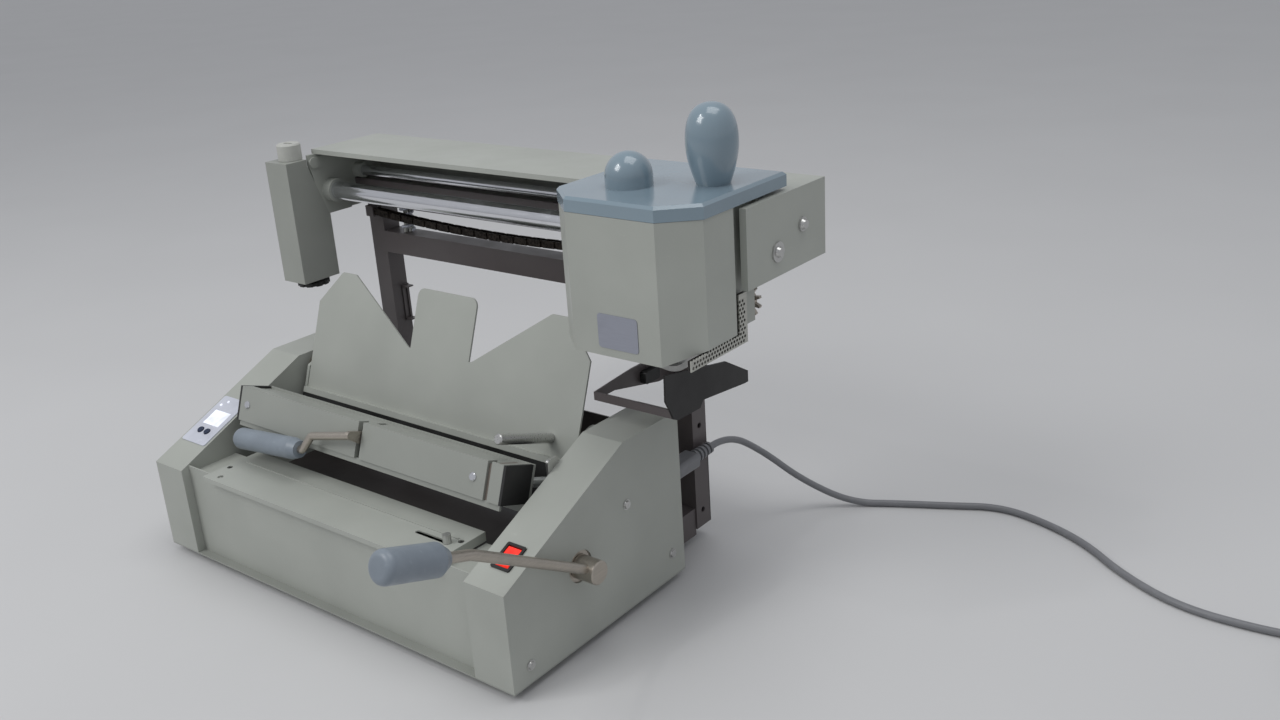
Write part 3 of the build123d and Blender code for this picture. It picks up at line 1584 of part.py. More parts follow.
with BuildPart() as mill_bracket:
    with BuildSketch(side(mill_right - bracket_thick)):
        with BuildLine():
            Polyline(
                (mill_back, end_plate_bottom),
                (bracket_step_y, end_plate_bottom),
                (bracket_step_y, bracket_step_z),
                (bracket_back, bracket_step_z),
                (bracket_back, bracket_top),
                (mill_top_back + bracket_wedge, bracket_top),
                (mill_top_back + bracket_wedge, mill_chamfer_z),
                (chamfer_meet_y, chamfer_meet_z),
                (mill_back, mill_chamfer_foot),
                close=True,
            )
        make_face()
        with Locations((rail_y, rail_z)):
            Circle(rail_radius + running_gap, mode=Mode.SUBTRACT)
        with Locations((rear_rail_y, rear_rail_z)):
            Circle(rear_rail_radius + running_gap, mode=Mode.SUBTRACT)
    extrude(amount=bracket_thick)
    with BuildSketch(side(mill_right)):
        with Locations(((link_near + link_far) / 2, link_z)):
            SlotOverall(link_far - link_near + 2 * link_round, 2 * link_round)
    extrude(amount=link_thick)
    with BuildSketch(side(mill_right)):
        with Locations((rail_y, rail_z)):
            Circle(mill_bush_radius)
            Circle(rail_radius + running_gap, mode=Mode.SUBTRACT)
        with Locations((rear_rail_y, rear_rail_z)):
            Circle(rear_bush_radius)
            Circle(rear_rail_radius + running_gap, mode=Mode.SUBTRACT)
    extrude(amount=mill_bush_length)
mill_bracket.part.label = "mill_bracket"
export_step(mill_bracket.part, "parts/mill_bracket.step")

with BuildPart() as mill_motor:
    with BuildSketch(plan(motor_bottom)):
        with Locations((mill_axis_x, cutter_y)):
            Rectangle(mill_width - 2 * sheet, motor_deep)
            Circle(cutter_shaft_radius + running_gap, mode=Mode.SUBTRACT)
    extrude(amount=motor_high)
mill_motor.part.label = "mill_motor"
export_step(mill_motor.part, "parts/mill_motor.step")

with BuildPart() as cutter:
    with BuildSketch(plan(cutter_z)):
        with Locations((mill_axis_x, cutter_y)):
            Circle(cutter_radius)
            with PolarLocations(cutter_radius, cutter_teeth):
                RectangleRounded(cutter_notch, cutter_notch, cutter_notch / 4, mode=Mode.SUBTRACT)
    extrude(amount=cutter_thick)
    with BuildSketch(plan(cutter_z + cutter_thick)):
        with Locations((mill_axis_x, cutter_y)):
            Circle(cutter_shaft_radius)
    extrude(amount=motor_bottom + motor_high / 2 - cutter_z - cutter_thick)
cutter.part.label = "cutter"
export_step(cutter.part, "parts/cutter.step")

with BuildPart() as depth_knob:
    with BuildSketch(plan(mill_top + seat_gap)):
        with Locations((mill_axis_x, mill_knob_y)):
            Circle(mill_knob_radius)
    extrude(amount=mill_knob_height)
    chamfer(depth_knob.faces().sort_by(Axis.Z)[-1].edges(), length=knob_chamfer)
    with BuildSketch(plan(mill_top + seat_gap + mill_knob_height)):
        with Locations((mill_axis_x, mill_knob_y)):
            SlotOverall(mill_knob_radius, slot_width)
    extrude(amount=-slot_width, mode=Mode.SUBTRACT)
    with BuildSketch(plan(mill_top + seat_gap)):
        with Locations((mill_axis_x, mill_knob_y)):
            Circle(knob_shaft_radius)
    extrude(amount=-3 * sheet)
depth_knob.part.label = "depth_knob"
export_step(depth_knob.part, "parts/depth_knob.step")

# ================= drip frame =================

with BuildPart() as drip_frame:
    with BuildSketch(side(tray_left)):
        with BuildLine():
            Polyline(
                (tray_front, tray_bottom),
                (tray_front, tray_top),
                (tray_rise_y, tray_rise_z),
                (post_front, tray_rise_z),
                (post_front, tray_tail_z),
                (tray_tail_y, tray_tail_z),
                (tray_rise_y / 2 + tray_front / 2, tray_bottom),
                close=True,
            )
        make_face()
    extrude(amount=tray_strip)
    with BuildSketch(front(tray_front + tray_strip)):
        with Locations((tray_left, tray_bottom)):
            Rectangle(tray_right - tray_left, tray_top - tray_bottom, align=(Align.MIN, Align.MIN))
    extrude(amount=tray_strip)
    with BuildSketch(front(post_front)):
        with Locations((tray_left, tray_rear_z)):
            Rectangle(tray_right - tray_left, tray_top - tray_bottom, align=(Align.MIN, Align.MIN))
    extrude(amount=tray_strip)
drip_frame.part.label = "drip_frame"
export_step(drip_frame.part, "parts/drip_frame.step")

with BuildPart() as drip_side:
    with BuildSketch(side(tray_right)):
        with BuildLine():
            Polyline(
                (tray_front - 9, tray_bottom + 44),
                (tray_front - 10, tray_bottom + 20),
                (tray_front - 4, tray_bottom + 9),
                (tray_front, tray_bottom),
                (tray_front + 6, tray_bottom - 3),
                (tray_front + 40, tray_bottom - 4),
                (tray_front + 45, tray_bottom + 2),
                (post_front - 5.5, tray_rear_z),
                (post_front, tray_rear_z),
                (post_front, tray_rear_z + 11),
                (post_front - 35.5, tray_rear_z + 32),
                close=True,
            )
        make_face()
    extrude(amount=tray_strip)
drip_side.part.label = "drip_side"
export_step(drip_side.part, "parts/drip_side.step")

with BuildPart() as tray_latch:
    with BuildSketch(side(tray_left + tray_strip)):
        with Locations((latch_y, latch_z)):
            RectangleRounded(latch_deep, latch_high, latch_round)
    extrude(amount=latch_wide)
tray_latch.part.label = "tray_latch"
export_step(tray_latch.part, "parts/tray_latch.step")

# ================= controls =================

with BuildPart() as switch_bezel:
    with BuildSketch(slope(switch_x, switch_along)):
        RectangleRounded(switch_width, switch_length, switch_lip)
        Rectangle(rocker_width + 2 * moving_gap, rocker_length + 2 * moving_gap, mode=Mode.SUBTRACT)
    extrude(amount=switch_lip)
    with BuildSketch(slope(switch_x, switch_along)):
        Rectangle(switch_width - 2 * switch_lip, switch_length - 2 * switch_lip)
        Rectangle(rocker_width + 2 * moving_gap, rocker_length + 2 * moving_gap, mode=Mode.SUBTRACT)
    extrude(amount=-switch_depth)
switch_bezel.part.label = "switch_bezel"
export_step(switch_bezel.part, "parts/switch_bezel.step")

# Rocker: two faces in a shallow V, its ends rounded about the rocking axis.
switch_plane = slope(switch_x - rocker_width / 2, switch_along)
rocker_side = Plane(origin=switch_plane.origin, x_dir=switch_plane.y_dir, z_dir=(1, 0, 0))
with BuildPart() as rocker_switch:
    with BuildSketch(rocker_side):
        with BuildLine():
            Polyline(
                (-rocker_length, -rocker_sink),
                (-rocker_length, rocker_rise + rocker_dip),
                (0, rocker_rise - rocker_dip),
                (rocker_length, rocker_rise - rocker_dip),
                (rocker_length, -rocker_sink),
                (0, -switch_depth),
                close=True,
            )
        make_face()
        with Locations((0, -rocker_pivot)):
            Circle(rocker_length / 2, mode=Mode.INTERSECT)
    extrude(amount=rocker_width)
rocker_switch.part.label = "rocker_switch"
export_step(rocker_switch.part, "parts/rocker_switch.step")

with BuildPart() as control_panel:
    with BuildSketch(slope(panel_x, panel_along)):
        RectangleRounded(panel_width, panel_length, slot_width / 2)
        with Locations((0, display_along)):
            Rectangle(display_width, display_length, mode=Mode.SUBTRACT)
        with Locations((0, button_along)):
            with GridLocations(button_spread, 0, 2, 1):
                Circle(button_radius + moving_gap, mode=Mode.SUBTRACT)
    extrude(amount=panel_thick)
control_panel.part.label = "control_panel"
export_step(control_panel.part, "parts/control_panel.step")

# Display window in the panel's opening, and two lamps above it.
with BuildPart() as panel_lights:
    with BuildSketch(slope(panel_x, panel_along)):
        with Locations((0, display_along)):
            Rectangle(display_width, display_length)
    extrude(amount=panel_thick - display_sink)
    with BuildSketch(slope(panel_x, panel_along).offset(panel_thick)):
        with Locations((-lamp_spread, lamp_along), (-lamp_spread / 2, lamp_along + lamp_spread / 2)):
            Circle(lamp_radius)
    extrude(amount=lamp_radius / 2)
panel_lights.part.label = "panel_lights"
export_step(panel_lights.part, "parts/panel_lights.step")

for hand, label in ((-1, "down_button"), (1, "up_button")):
    with BuildPart() as button:
        with BuildSketch(slope(panel_x, panel_along)):
            with Locations((hand * button_spread / 2, button_along)):
                Circle(button_radius)
        extrude(amount=panel_thick + button_rise)
        chamfer(button.faces().sort_by(Axis.Z)[-1].edges(), length=button_chamfer)
        with BuildSketch(slope(panel_x, panel_along)):
            with Locations((hand * button_spread / 2, button_along)):
                Circle(button_radius)
        extrude(amount=-button_stem)
        with BuildSketch(slope(panel_x, panel_along).offset(-button_collar_gap)):
            with Locations((hand * button_spread / 2, button_along)):
                Circle(button_radius + button_collar)
        extrude(amount=button_collar_gap - button_stem)
    button.part.label = label
    export_step(button.part, "parts/" + label + ".step")

# ================= fasteners =================

with BuildPart() as housing_screws:
    with BuildSketch(side(base_width / 2)):
        with Locations(screw_a, screw_b, screw_c):
            Circle(screw_head_radius + 1)
    extrude(amount=screw_washer)
    with BuildSketch(side(base_width / 2 + screw_washer)):
        with Locations(screw_a, screw_b, screw_c):
            Circle(screw_head_radius)
    extrude(amount=screw_head, taper=20)
    with BuildSketch(side(-base_width / 2)):
        with Locations(screw_a, screw_b, screw_c):
            Circle(screw_head_radius + 1)
    extrude(amount=-screw_washer)
    with BuildSketch(side(-base_width / 2 - screw_washer)):
        with Locations(screw_a, screw_b, screw_c):
            Circle(screw_head_radius)
    extrude(amount=-screw_head, taper=20)
housing_screws.part.label = "housing_screws"
export_step(housing_screws.part, "parts/housing_screws.step")

# ================= mains inlet and cord =================

with BuildPart() as mains_inlet:
    with BuildSketch(front(base_depth)):
        with Locations((inlet_x, inlet_z)):
            RectangleRounded(inlet_width + 2 * inlet_flange, inlet_height + 2 * inlet_flange, inlet_flange)
    extrude(amount=-inlet_flange)
    with BuildSketch(front(base_depth)):
        with Locations((inlet_x, inlet_z)):
            Rectangle(inlet_width - 2 * seat_gap, inlet_height - 2 * seat_gap)
    extrude(amount=inlet_body)
mains_inlet.part.label = "mains_inlet"
export_step(mains_inlet.part, "parts/mains_inlet.step")

with BuildPart() as cord_connector:
    with BuildSketch(front(base_depth + inlet_flange)):
        with Locations((inlet_x, inlet_z)):
            RectangleRounded(connector_width, connector_height, connector_round)
    extrude(amount=-connector_length)
    with BuildSketch(front(base_depth + inlet_flange + connector_length)):
        with Locations((inlet_x, inlet_z)):
            Circle(relief_root)
    extrude(amount=-relief_length, taper=3)
    for rib in range(relief_ribs):
        with BuildSketch(front(base_depth + inlet_flange + connector_length + relief_pitch * (rib + 0.5))):
            with Locations((inlet_x, inlet_z)):
                Circle(relief_root + relief_rib - rib * relief_fall)
        extrude(amount=-relief_pitch / 2)
cord_connector.part.label = "cord_connector"
export_step(cord_connector.part, "parts/cord_connector.step")

cord_z = cord_radius - foot_height
cord_start_y = base_depth + inlet_flange + connector_length + relief_length
cord_route = [
    (inlet_x, cord_start_y, inlet_z),
    (inlet_x, cord_start_y + 32.0, inlet_z),
    (246.0, 396.0, 64.0),
    (276.0, 424.0, 26.0),
    (318.0, 456.0, cord_z),
    (362.0, 480.0, cord_z),
    (408.0, 502.0, cord_z),
    (456.0, 527.0, cord_z),
    (508.0, 517.0, cord_z),
    (556.0, 496.0, cord_z),
    (602.0, 458.0, cord_z),
    (662.0, 428.0, cord_z),
    (732.0, 428.0, cord_z),
    (coil_x - 34.0, coil_y + coil_entry + 5.0, cord_z),
    (coil_x, coil_y + coil_entry, cord_z),
]


def bend_radius(before, corner, after):
    """The largest arc a corner takes: 0.45 of the shorter run over the tangent of half the turn."""
    turn = math.radians((corner - before).get_angle(after - corner))
    return 0.45 * min((corner - before).length, (after - corner).length) / math.tan(turn / 2)


cord_points = [place(*point) for point in cord_route]
cord_bends = [bend_radius(*cord_points[k - 1:k + 2]) for k in range(1, len(cord_points) - 1)]
with BuildPart() as power_cord:
    with BuildLine() as cord_line:
        FilletPolyline(*cord_points, radius=cord_bends)
    with BuildSketch(Plane(origin=cord_line.line @ 0, z_dir=cord_line.line % 0)):
        Circle(cord_radius)
    sweep(path=cord_line.line)
power_cord.part.label = "power_cord"
export_step(power_cord.part, "parts/power_cord.step")
cord_length = cord_line.wires()[0].length
cord_share = power_cord.part.volume / (cord_length * math.pi * cord_radius**2)
print("cord bend radii", [round(bend, 1) for bend in cord_bends])
print("cord run", round(cord_length, 1), "volume share", round(cord_share, 4))

# The rest of the cord wound up, turns beside and on each other, as one plain closed ring.
with BuildPart() as cord_coil:
    with BuildSketch(plan(-foot_height)):
        with Locations((coil_x, coil_y)):
            Circle(coil_entry + cord_radius)
            Circle(coil_entry - 3 * cord_radius, mode=Mode.SUBTRACT)
    extrude(amount=4 * cord_radius)
    fillet(cord_coil.edges().filter_by(GeomType.CIRCLE), radius=coil_round)
cord_coil.part.label = "cord_coil"
export_step(cord_coil.part, "parts/cord_coil.step")
coil_length = coil_turns * 2 * math.pi * (coil_entry - cord_radius)
print("coil", round(coil_length, 1), "whole cord", round(cord_length + coil_length, 1))

# Angled mains plug lying on its rim, its cord boss reaching the coil's outer upper turn.
plug_z = plug_radius - foot_height
plug_drop = plug_radius - 3 * cord_radius
plug_tilt = math.asin(plug_drop / plug_reach)
plug_y = coil_y - plug_reach * math.cos(plug_tilt)
plug_x = coil_x + coil_entry
with BuildPart() as mains_plug:
    with BuildSketch(side(plug_x - plug_thick / 2)):
        with Locations((plug_y, plug_z)):
            Circle(plug_radius)
    extrude(amount=plug_thick)
    chamfer(mains_plug.faces().sort_by(Axis.X)[0].edges(), length=plug_round)
    boss_plane = Plane(
        origin=place(plug_x, plug_y, plug_z),
        x_dir=(1, 0, 0),
        z_dir=(0, math.cos(plug_tilt), -math.sin(plug_tilt)),
    )
    with BuildSketch(boss_plane.offset(plug_reach)):
        Circle(cord_radius + 0.4)
    extrude(amount=-plug_reach, taper=-6)
    with BuildSketch(side(plug_x + plug_thick / 2)):
        with Locations((plug_y, plug_z)):
            with GridLocations(0, plug_pin_pitch, 1, 2):
                Circle(plug_pin_radius)
    extrude(amount=plug_pin)
mains_plug.part.label = "mains_plug"
export_step(mains_plug.part, "parts/mains_plug.step")
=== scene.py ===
"""Desktop hot-melt glue binder: its finishes, cord, fine pieces and a plain studio."""
import json
import math

import bpy
from mathutils import Matrix, Vector


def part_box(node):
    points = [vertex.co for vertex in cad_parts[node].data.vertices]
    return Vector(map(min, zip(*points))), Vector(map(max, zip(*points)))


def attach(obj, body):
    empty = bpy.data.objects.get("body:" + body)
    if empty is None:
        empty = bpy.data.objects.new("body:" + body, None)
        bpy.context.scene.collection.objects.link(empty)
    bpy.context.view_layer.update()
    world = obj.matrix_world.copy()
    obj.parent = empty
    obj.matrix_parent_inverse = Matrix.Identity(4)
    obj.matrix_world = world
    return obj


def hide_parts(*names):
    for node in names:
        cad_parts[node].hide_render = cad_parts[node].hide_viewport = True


bl_info = {
    "name": "Desktop Glue Binder",
    "version": (1, 0, 0),
    "blender": (4, 5, 0),
    "location": "3D View > Sidebar > Glue Binder",
    "description": "Finishes, mains cord, perforated guard and studio for a desktop glue binder",
    "category": "Add Mesh",
}

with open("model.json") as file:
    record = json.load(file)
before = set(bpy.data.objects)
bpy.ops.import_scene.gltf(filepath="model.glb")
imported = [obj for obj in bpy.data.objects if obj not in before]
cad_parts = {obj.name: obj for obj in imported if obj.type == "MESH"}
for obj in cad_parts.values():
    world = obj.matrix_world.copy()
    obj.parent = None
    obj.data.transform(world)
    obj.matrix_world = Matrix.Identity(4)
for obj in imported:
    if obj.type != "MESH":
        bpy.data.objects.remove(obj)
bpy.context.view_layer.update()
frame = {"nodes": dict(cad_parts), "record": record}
NODES = frame["nodes"]
MM = 0.001


def tint(code):
    """A six-digit web colour as the linear colour that a shader takes."""
    parts = [int(code[k:k + 2], 16) / 255 for k in (0, 2, 4)]
    return tuple(p / 12.92 if p <= 0.04045 else ((p + 0.055) / 1.055) ** 2.4 for p in parts) + (1.0,)


def shade(colour, factor):
    """The same colour, lighter or darker by a factor."""
    return tuple(min(1.0, part * factor) for part in colour[:3]) + (1.0,)


# ---------------------------------------------------------------- settings

class BinderColours(bpy.types.PropertyGroup):
    """Colours of the binder's main finishes."""
    housing: bpy.props.FloatVectorProperty(
        name="Housing", description="Powder coat of the housings and jaws",
        subtype="COLOR", size=4, min=0, max=1, default=tint("A4A7A0"))
    lid: bpy.props.FloatVectorProperty(
        name="Lid", description="Gloss enamel of the glue pot's lid and its two knobs",
        subtype="COLOR", size=4, min=0, max=1, default=tint("7C8E99"))
    grip: bpy.props.FloatVectorProperty(
        name="Grips", description="Plastic of the two lever grips",
        subtype="COLOR", size=4, min=0, max=1, default=tint("7E8790"))
    gantry: bpy.props.FloatVectorProperty(
        name="Gantry", description="Paint of the posts, arms and cross bar",
        subtype="COLOR", size=4, min=0, max=1, default=tint("565050"))
    cord: bpy.props.FloatVectorProperty(
        name="Cord", description="Jacket of the mains cord",
        subtype="COLOR", size=4, min=0, max=1, default=tint("76777A"))
    floor: bpy.props.FloatVectorProperty(
        name="Floor", description="Studio floor",
        subtype="COLOR", size=4, min=0, max=1, default=tint("C8C8C8"))


class BinderSizes(bpy.types.PropertyGroup):
    """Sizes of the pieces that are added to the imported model."""
    hole_radius: bpy.props.FloatProperty(
        name="Guard hole", description="Radius of one hole in the perforated guard",
        unit="LENGTH", min=0.0004, max=0.002, default=0.00140)
    hole_pitch: bpy.props.FloatProperty(
        name="Guard pitch", description="Distance between neighbouring holes of the guard",
        unit="LENGTH", min=0.002, max=0.01, default=0.0041)
    cord_radius: bpy.props.FloatProperty(
        name="Cord radius", description="Half the thickness of the mains cord",
        unit="LENGTH", min=0.002, max=0.006, default=0.0035)
    coil_radius: bpy.props.FloatProperty(
        name="Coil radius", description="Middle of the outer turns of the wound-up cord",
        unit="LENGTH", min=0.03, max=0.08, default=0.042)
    wrap_radius: bpy.props.FloatProperty(
        name="Wire wrap radius", description="Outside of the spiral wrap on the heater wires",
        unit="LENGTH", min=0.004, max=0.012, default=0.0085)


class BinderCamera(bpy.types.PropertyGroup):
    """Where the camera stands and looks."""
    place: bpy.props.FloatVectorProperty(
        name="Place", description="Camera position",
        subtype="XYZ", unit="LENGTH", size=3, default=(0.84933, -0.70738, 0.63091))
    yaw: bpy.props.FloatProperty(
        name="Yaw", description="Turn from looking along +Y, to the left",
        subtype="ANGLE", default=math.radians(38.880))
    pitch: bpy.props.FloatProperty(
        name="Pitch", description="Tilt below the horizon",
        subtype="ANGLE", default=math.radians(20.786))
    roll: bpy.props.FloatProperty(
        name="Roll", description="Turn about the line of sight",
        subtype="ANGLE", default=math.radians(-3.7245))
    lens: bpy.props.FloatProperty(
        name="Lens", description="Focal length on a 36 mm sensor",
        subtype="DISTANCE_CAMERA", min=10, max=200, default=34.763)


# ---------------------------------------------------------------- finishes

class Wire:
    """A socket of a finish that can be used in arithmetic, to the left of + and *."""

    def __init__(self, finish, socket):
        self.finish = finish
        self.socket = socket

    def combine(self, operation, first, second):
        return self.finish.node("ShaderNodeMath", {"operation": operation}, {0: first, 1: second})

    def __add__(self, other):
        return self.combine("ADD", self, other)

    def __rsub__(self, other):
        return self.combine("SUBTRACT", other, self)

    def __mul__(self, other):
        return self.combine("MULTIPLY", self, other)


class Finish:
    """A procedural material on the Principled shader, in object coordinates."""

    def __init__(self, name, **fixed):
        self.material = bpy.data.materials.new(name)
        self.material.use_nodes = True
        self.tree = self.material.node_tree
        self.shader = self.tree.nodes["Principled BSDF"]
        self.set(**fixed)

    def feed(self, socket, value):
        if isinstance(value, Wire):
            self.tree.links.new(value.socket, socket)
        else:
            socket.default_value = value

    def set(self, **values):
        """Feeds the shader's sockets: base_color is Base Color, and so on."""
        for key, value in values.items():
            name = "IOR" if key == "ior" else key.replace("_", " ").title()
            self.feed(self.shader.inputs[name], value)

    def node(self, kind, settings=None, values=None, out=0):
        """Adds one node with its settings and its sockets' values, and returns an output."""
        made = self.tree.nodes.new(kind)
        for key, value in (settings or {}).items():
            setattr(made, key, value)
        for key, value in (values or {}).items():
            self.feed(made.inputs[key], value)
        return Wire(self, made.outputs[out])

    def place(self, stretch=(1, 1, 1)):
        where = self.node("ShaderNodeTexCoord", out="Object")
        return self.node("ShaderNodeMapping", values={"Vector": where, "Scale": stretch})

    def noise(self, scale, detail=2.0, stretch=(1, 1, 1)):
        values = {"Vector": self.place(stretch), "Scale": scale, "Detail": detail}
        return self.node("ShaderNodeTexNoise", values=values, out="Fac")

    def along(self, direction):
        """How far a point lies along a direction, from the model's origin."""
        where = self.node("ShaderNodeTexCoord", out="Object")
        settings = {"operation": "DOT_PRODUCT"}
        return self.node("ShaderNodeVectorMath", settings, {0: where, 1: direction}, out="Value")

    def band(self, direction, low, high):
        """One between two distances along a direction, and nothing outside them."""
        far = self.along(direction)
        after = self.node("ShaderNodeMath", {"operation": "GREATER_THAN"}, {0: far, 1: low})
        before = self.node("ShaderNodeMath", {"operation": "LESS_THAN"}, {0: far, 1: high})
        return after * before

    def span(self, value, low, high, to_low=0.0, to_high=1.0):
        """A value's band from low to high, clamped and spread over another band."""
        values = {"Value": value, "From Min": low, "From Max": high, "To Min": to_low, "To Max": to_high}
        return self.node("ShaderNodeMapRange", values=values)

    def mix(self, factor, first, second):
        settings = {"data_type": "RGBA"}
        return self.node("ShaderNodeMix", settings, {0: factor, 6: first, 7: second}, out=2)

    def bump(self, height, depth, strength=1.0, under=None):
        values = {"Height": height, "Distance": depth, "Strength": strength}
        if under is not None:
            values["Normal"] = under
        return self.node("ShaderNodeBump", values=values)


def powder_coat(name, colour, gloss=0.40, stripe=None):
    """Baked powder coat: faint orange peel, cloudy tone, pale scuffs and at most one stripe."""
    f = Finish(name, ior=1.5)
    cloud = f.noise(11, 3)
    tone = f.mix(f.span(cloud, 0.3, 0.7), shade(colour, 0.94), shade(colour, 1.05))
    scuff = f.span(f.noise(60, 6, (1, 1, 5)), 0.70, 0.78, 0, 0.30)
    coat = f.mix(scuff, tone, shade(colour, 1.25))
    if stripe:
        direction, low, high, other = stripe
        coat = f.mix(f.band(direction, low, high), coat, other)
    f.set(base_color=coat)
    f.set(roughness=f.span(f.noise(30, 4), 0.3, 0.7, gloss - 0.05, gloss + 0.09) + scuff * 0.3)
    peel = f.bump(f.noise(620, 2), 0.00012, 0.35)
    f.set(normal=f.bump(f.noise(2600, 1), 0.00003, 0.3, peel))
    return f.material


def gloss_enamel(name, colour):
    """Thick glossy enamel with a clear coat and faint polishing marks."""
    f = Finish(name, ior=1.5, coat_roughness=0.04)
    tone = f.mix(f.span(f.noise(14, 3), 0.3, 0.7), shade(colour, 0.95), shade(colour, 1.04))
    f.set(base_color=tone, roughness=f.span(f.noise(45, 5), 0.3, 0.7, 0.16, 0.27))
    f.set(coat_weight=f.span(f.noise(20, 2), 0.3, 0.7, 0.55, 0.75))
    f.set(normal=f.bump(f.noise(90, 1), 0.00002, 0.05))
    return f.material


def satin_plastic(name, colour, gloss=0.42, grain=1500):
    """Moulded plastic with a fine grain and handling marks."""
    f = Finish(name, ior=1.47)
    tone = f.mix(f.span(f.noise(40, 4), 0.3, 0.7), shade(colour, 0.90), shade(colour, 1.08))
    worn = f.span(f.noise(120, 5, (1, 3, 1)), 0.62, 0.74, 0, 0.35)
    f.set(base_color=f.mix(worn, tone, shade(colour, 1.30)))
    f.set(roughness=f.span(f.noise(55, 4), 0.3, 0.7, gloss - 0.06, gloss + 0.10))
    f.set(normal=f.bump(f.noise(grain, 2), 0.00005, 0.4))
    return f.material


def brushed_metal(name, colour, gloss, along, metal=1.0, marks=0.12):
    """Bare metal with fine marks that run along one axis."""
    stretch = tuple(0.03 if axis == along else 1.0 for axis in "XYZ")
    f = Finish(name)
    line = f.noise(1500, 3, stretch)
    cloud = f.noise(30, 3)
    tone = f.mix(f.span(line, 0.3, 0.7), shade(colour, 1 - marks), shade(colour, 1 + marks))
    stain = f.span(cloud, 0.58, 0.75, 0, 0.35)
    f.set(base_color=f.mix(stain, tone, shade(colour, 0.72)))
    f.set(metallic=metal - stain * 0.3)
    f.set(roughness=f.span(line, 0.3, 0.7, gloss - 0.05, gloss + 0.08) + stain * 0.25)
    f.set(normal=f.bump(line, 0.00002, 0.35))
    return f.material


def oiled_chain(name, colour):
    """Dark chain steel with an oily film and brown dirt."""
    f = Finish(name)
    dirt = f.noise(420, 4)
    f.set(base_color=f.mix(f.span(dirt, 0.4, 0.65), colour, tint("2F251C")))
    f.set(metallic=f.span(dirt, 0.4, 0.6, 0.9, 0.35), roughness=f.span(dirt, 0.35, 0.65, 0.30, 0.62))
    f.set(normal=f.bump(dirt, 0.0001, 0.4))
    return f.material


def soft_rubber(name, colour, gloss):
    """Rubber or soft PVC with dust in its pores."""
    f = Finish(name, ior=1.45)
    dust = f.span(f.noise(90, 5), 0.52, 0.75, 0, 0.35)
    f.set(base_color=f.mix(dust, colour, shade(colour, 1.45)))
    f.set(roughness=dust * 0.3 + gloss)
    f.set(normal=f.bump(f.noise(1800, 2), 0.00004, 0.35))
    return f.material


def lit_window(name, colour, glow, power, pattern):
    """A lit translucent face: its colour and glow darker in cloudy patches."""
    f = Finish(name, ior=1.49, emission_strength=power, roughness=0.22)
    cloud = f.noise(pattern, 2)
    f.set(base_color=f.mix(f.span(cloud, 0.35, 0.65), colour, shade(colour, 0.8)))
    f.set(emission_color=f.mix(f.span(cloud, 0.35, 0.65), glow, shade(glow, 0.55)))
    f.set(normal=f.bump(f.noise(900, 1), 0.00003, 0.3))
    return f.material


JAW_LEAN = math.radians(20.6)          # how far the jaws' faces lean back from upright
JAW_AHEAD = Vector((0, -math.cos(JAW_LEAN), math.sin(JAW_LEAN)))
JAW_UP = Vector((0, math.sin(JAW_LEAN), math.cos(JAW_LEAN)))
JAW_EDGE = Vector((0, 5.58 * MM, 160.6 * MM))          # on the moving jaw's top edge
JAW_DEPTH = 36.1 * MM                  # from the jaw's face to the front of its core
JAW_DROP = 35.6 * MM                   # from the top edge to the underside of the core
# Painted shade: a near-black band on the fixed jaw stands in for the shadowed gap below the back rest.
GAP_SHADE_BAND = (-45 * MM, -6 * MM)       # the dark band of the fixed jaw, up from that edge
SPLIT = (126.4 * MM, 131.4 * MM)       # the open split between two jaw covers, along X


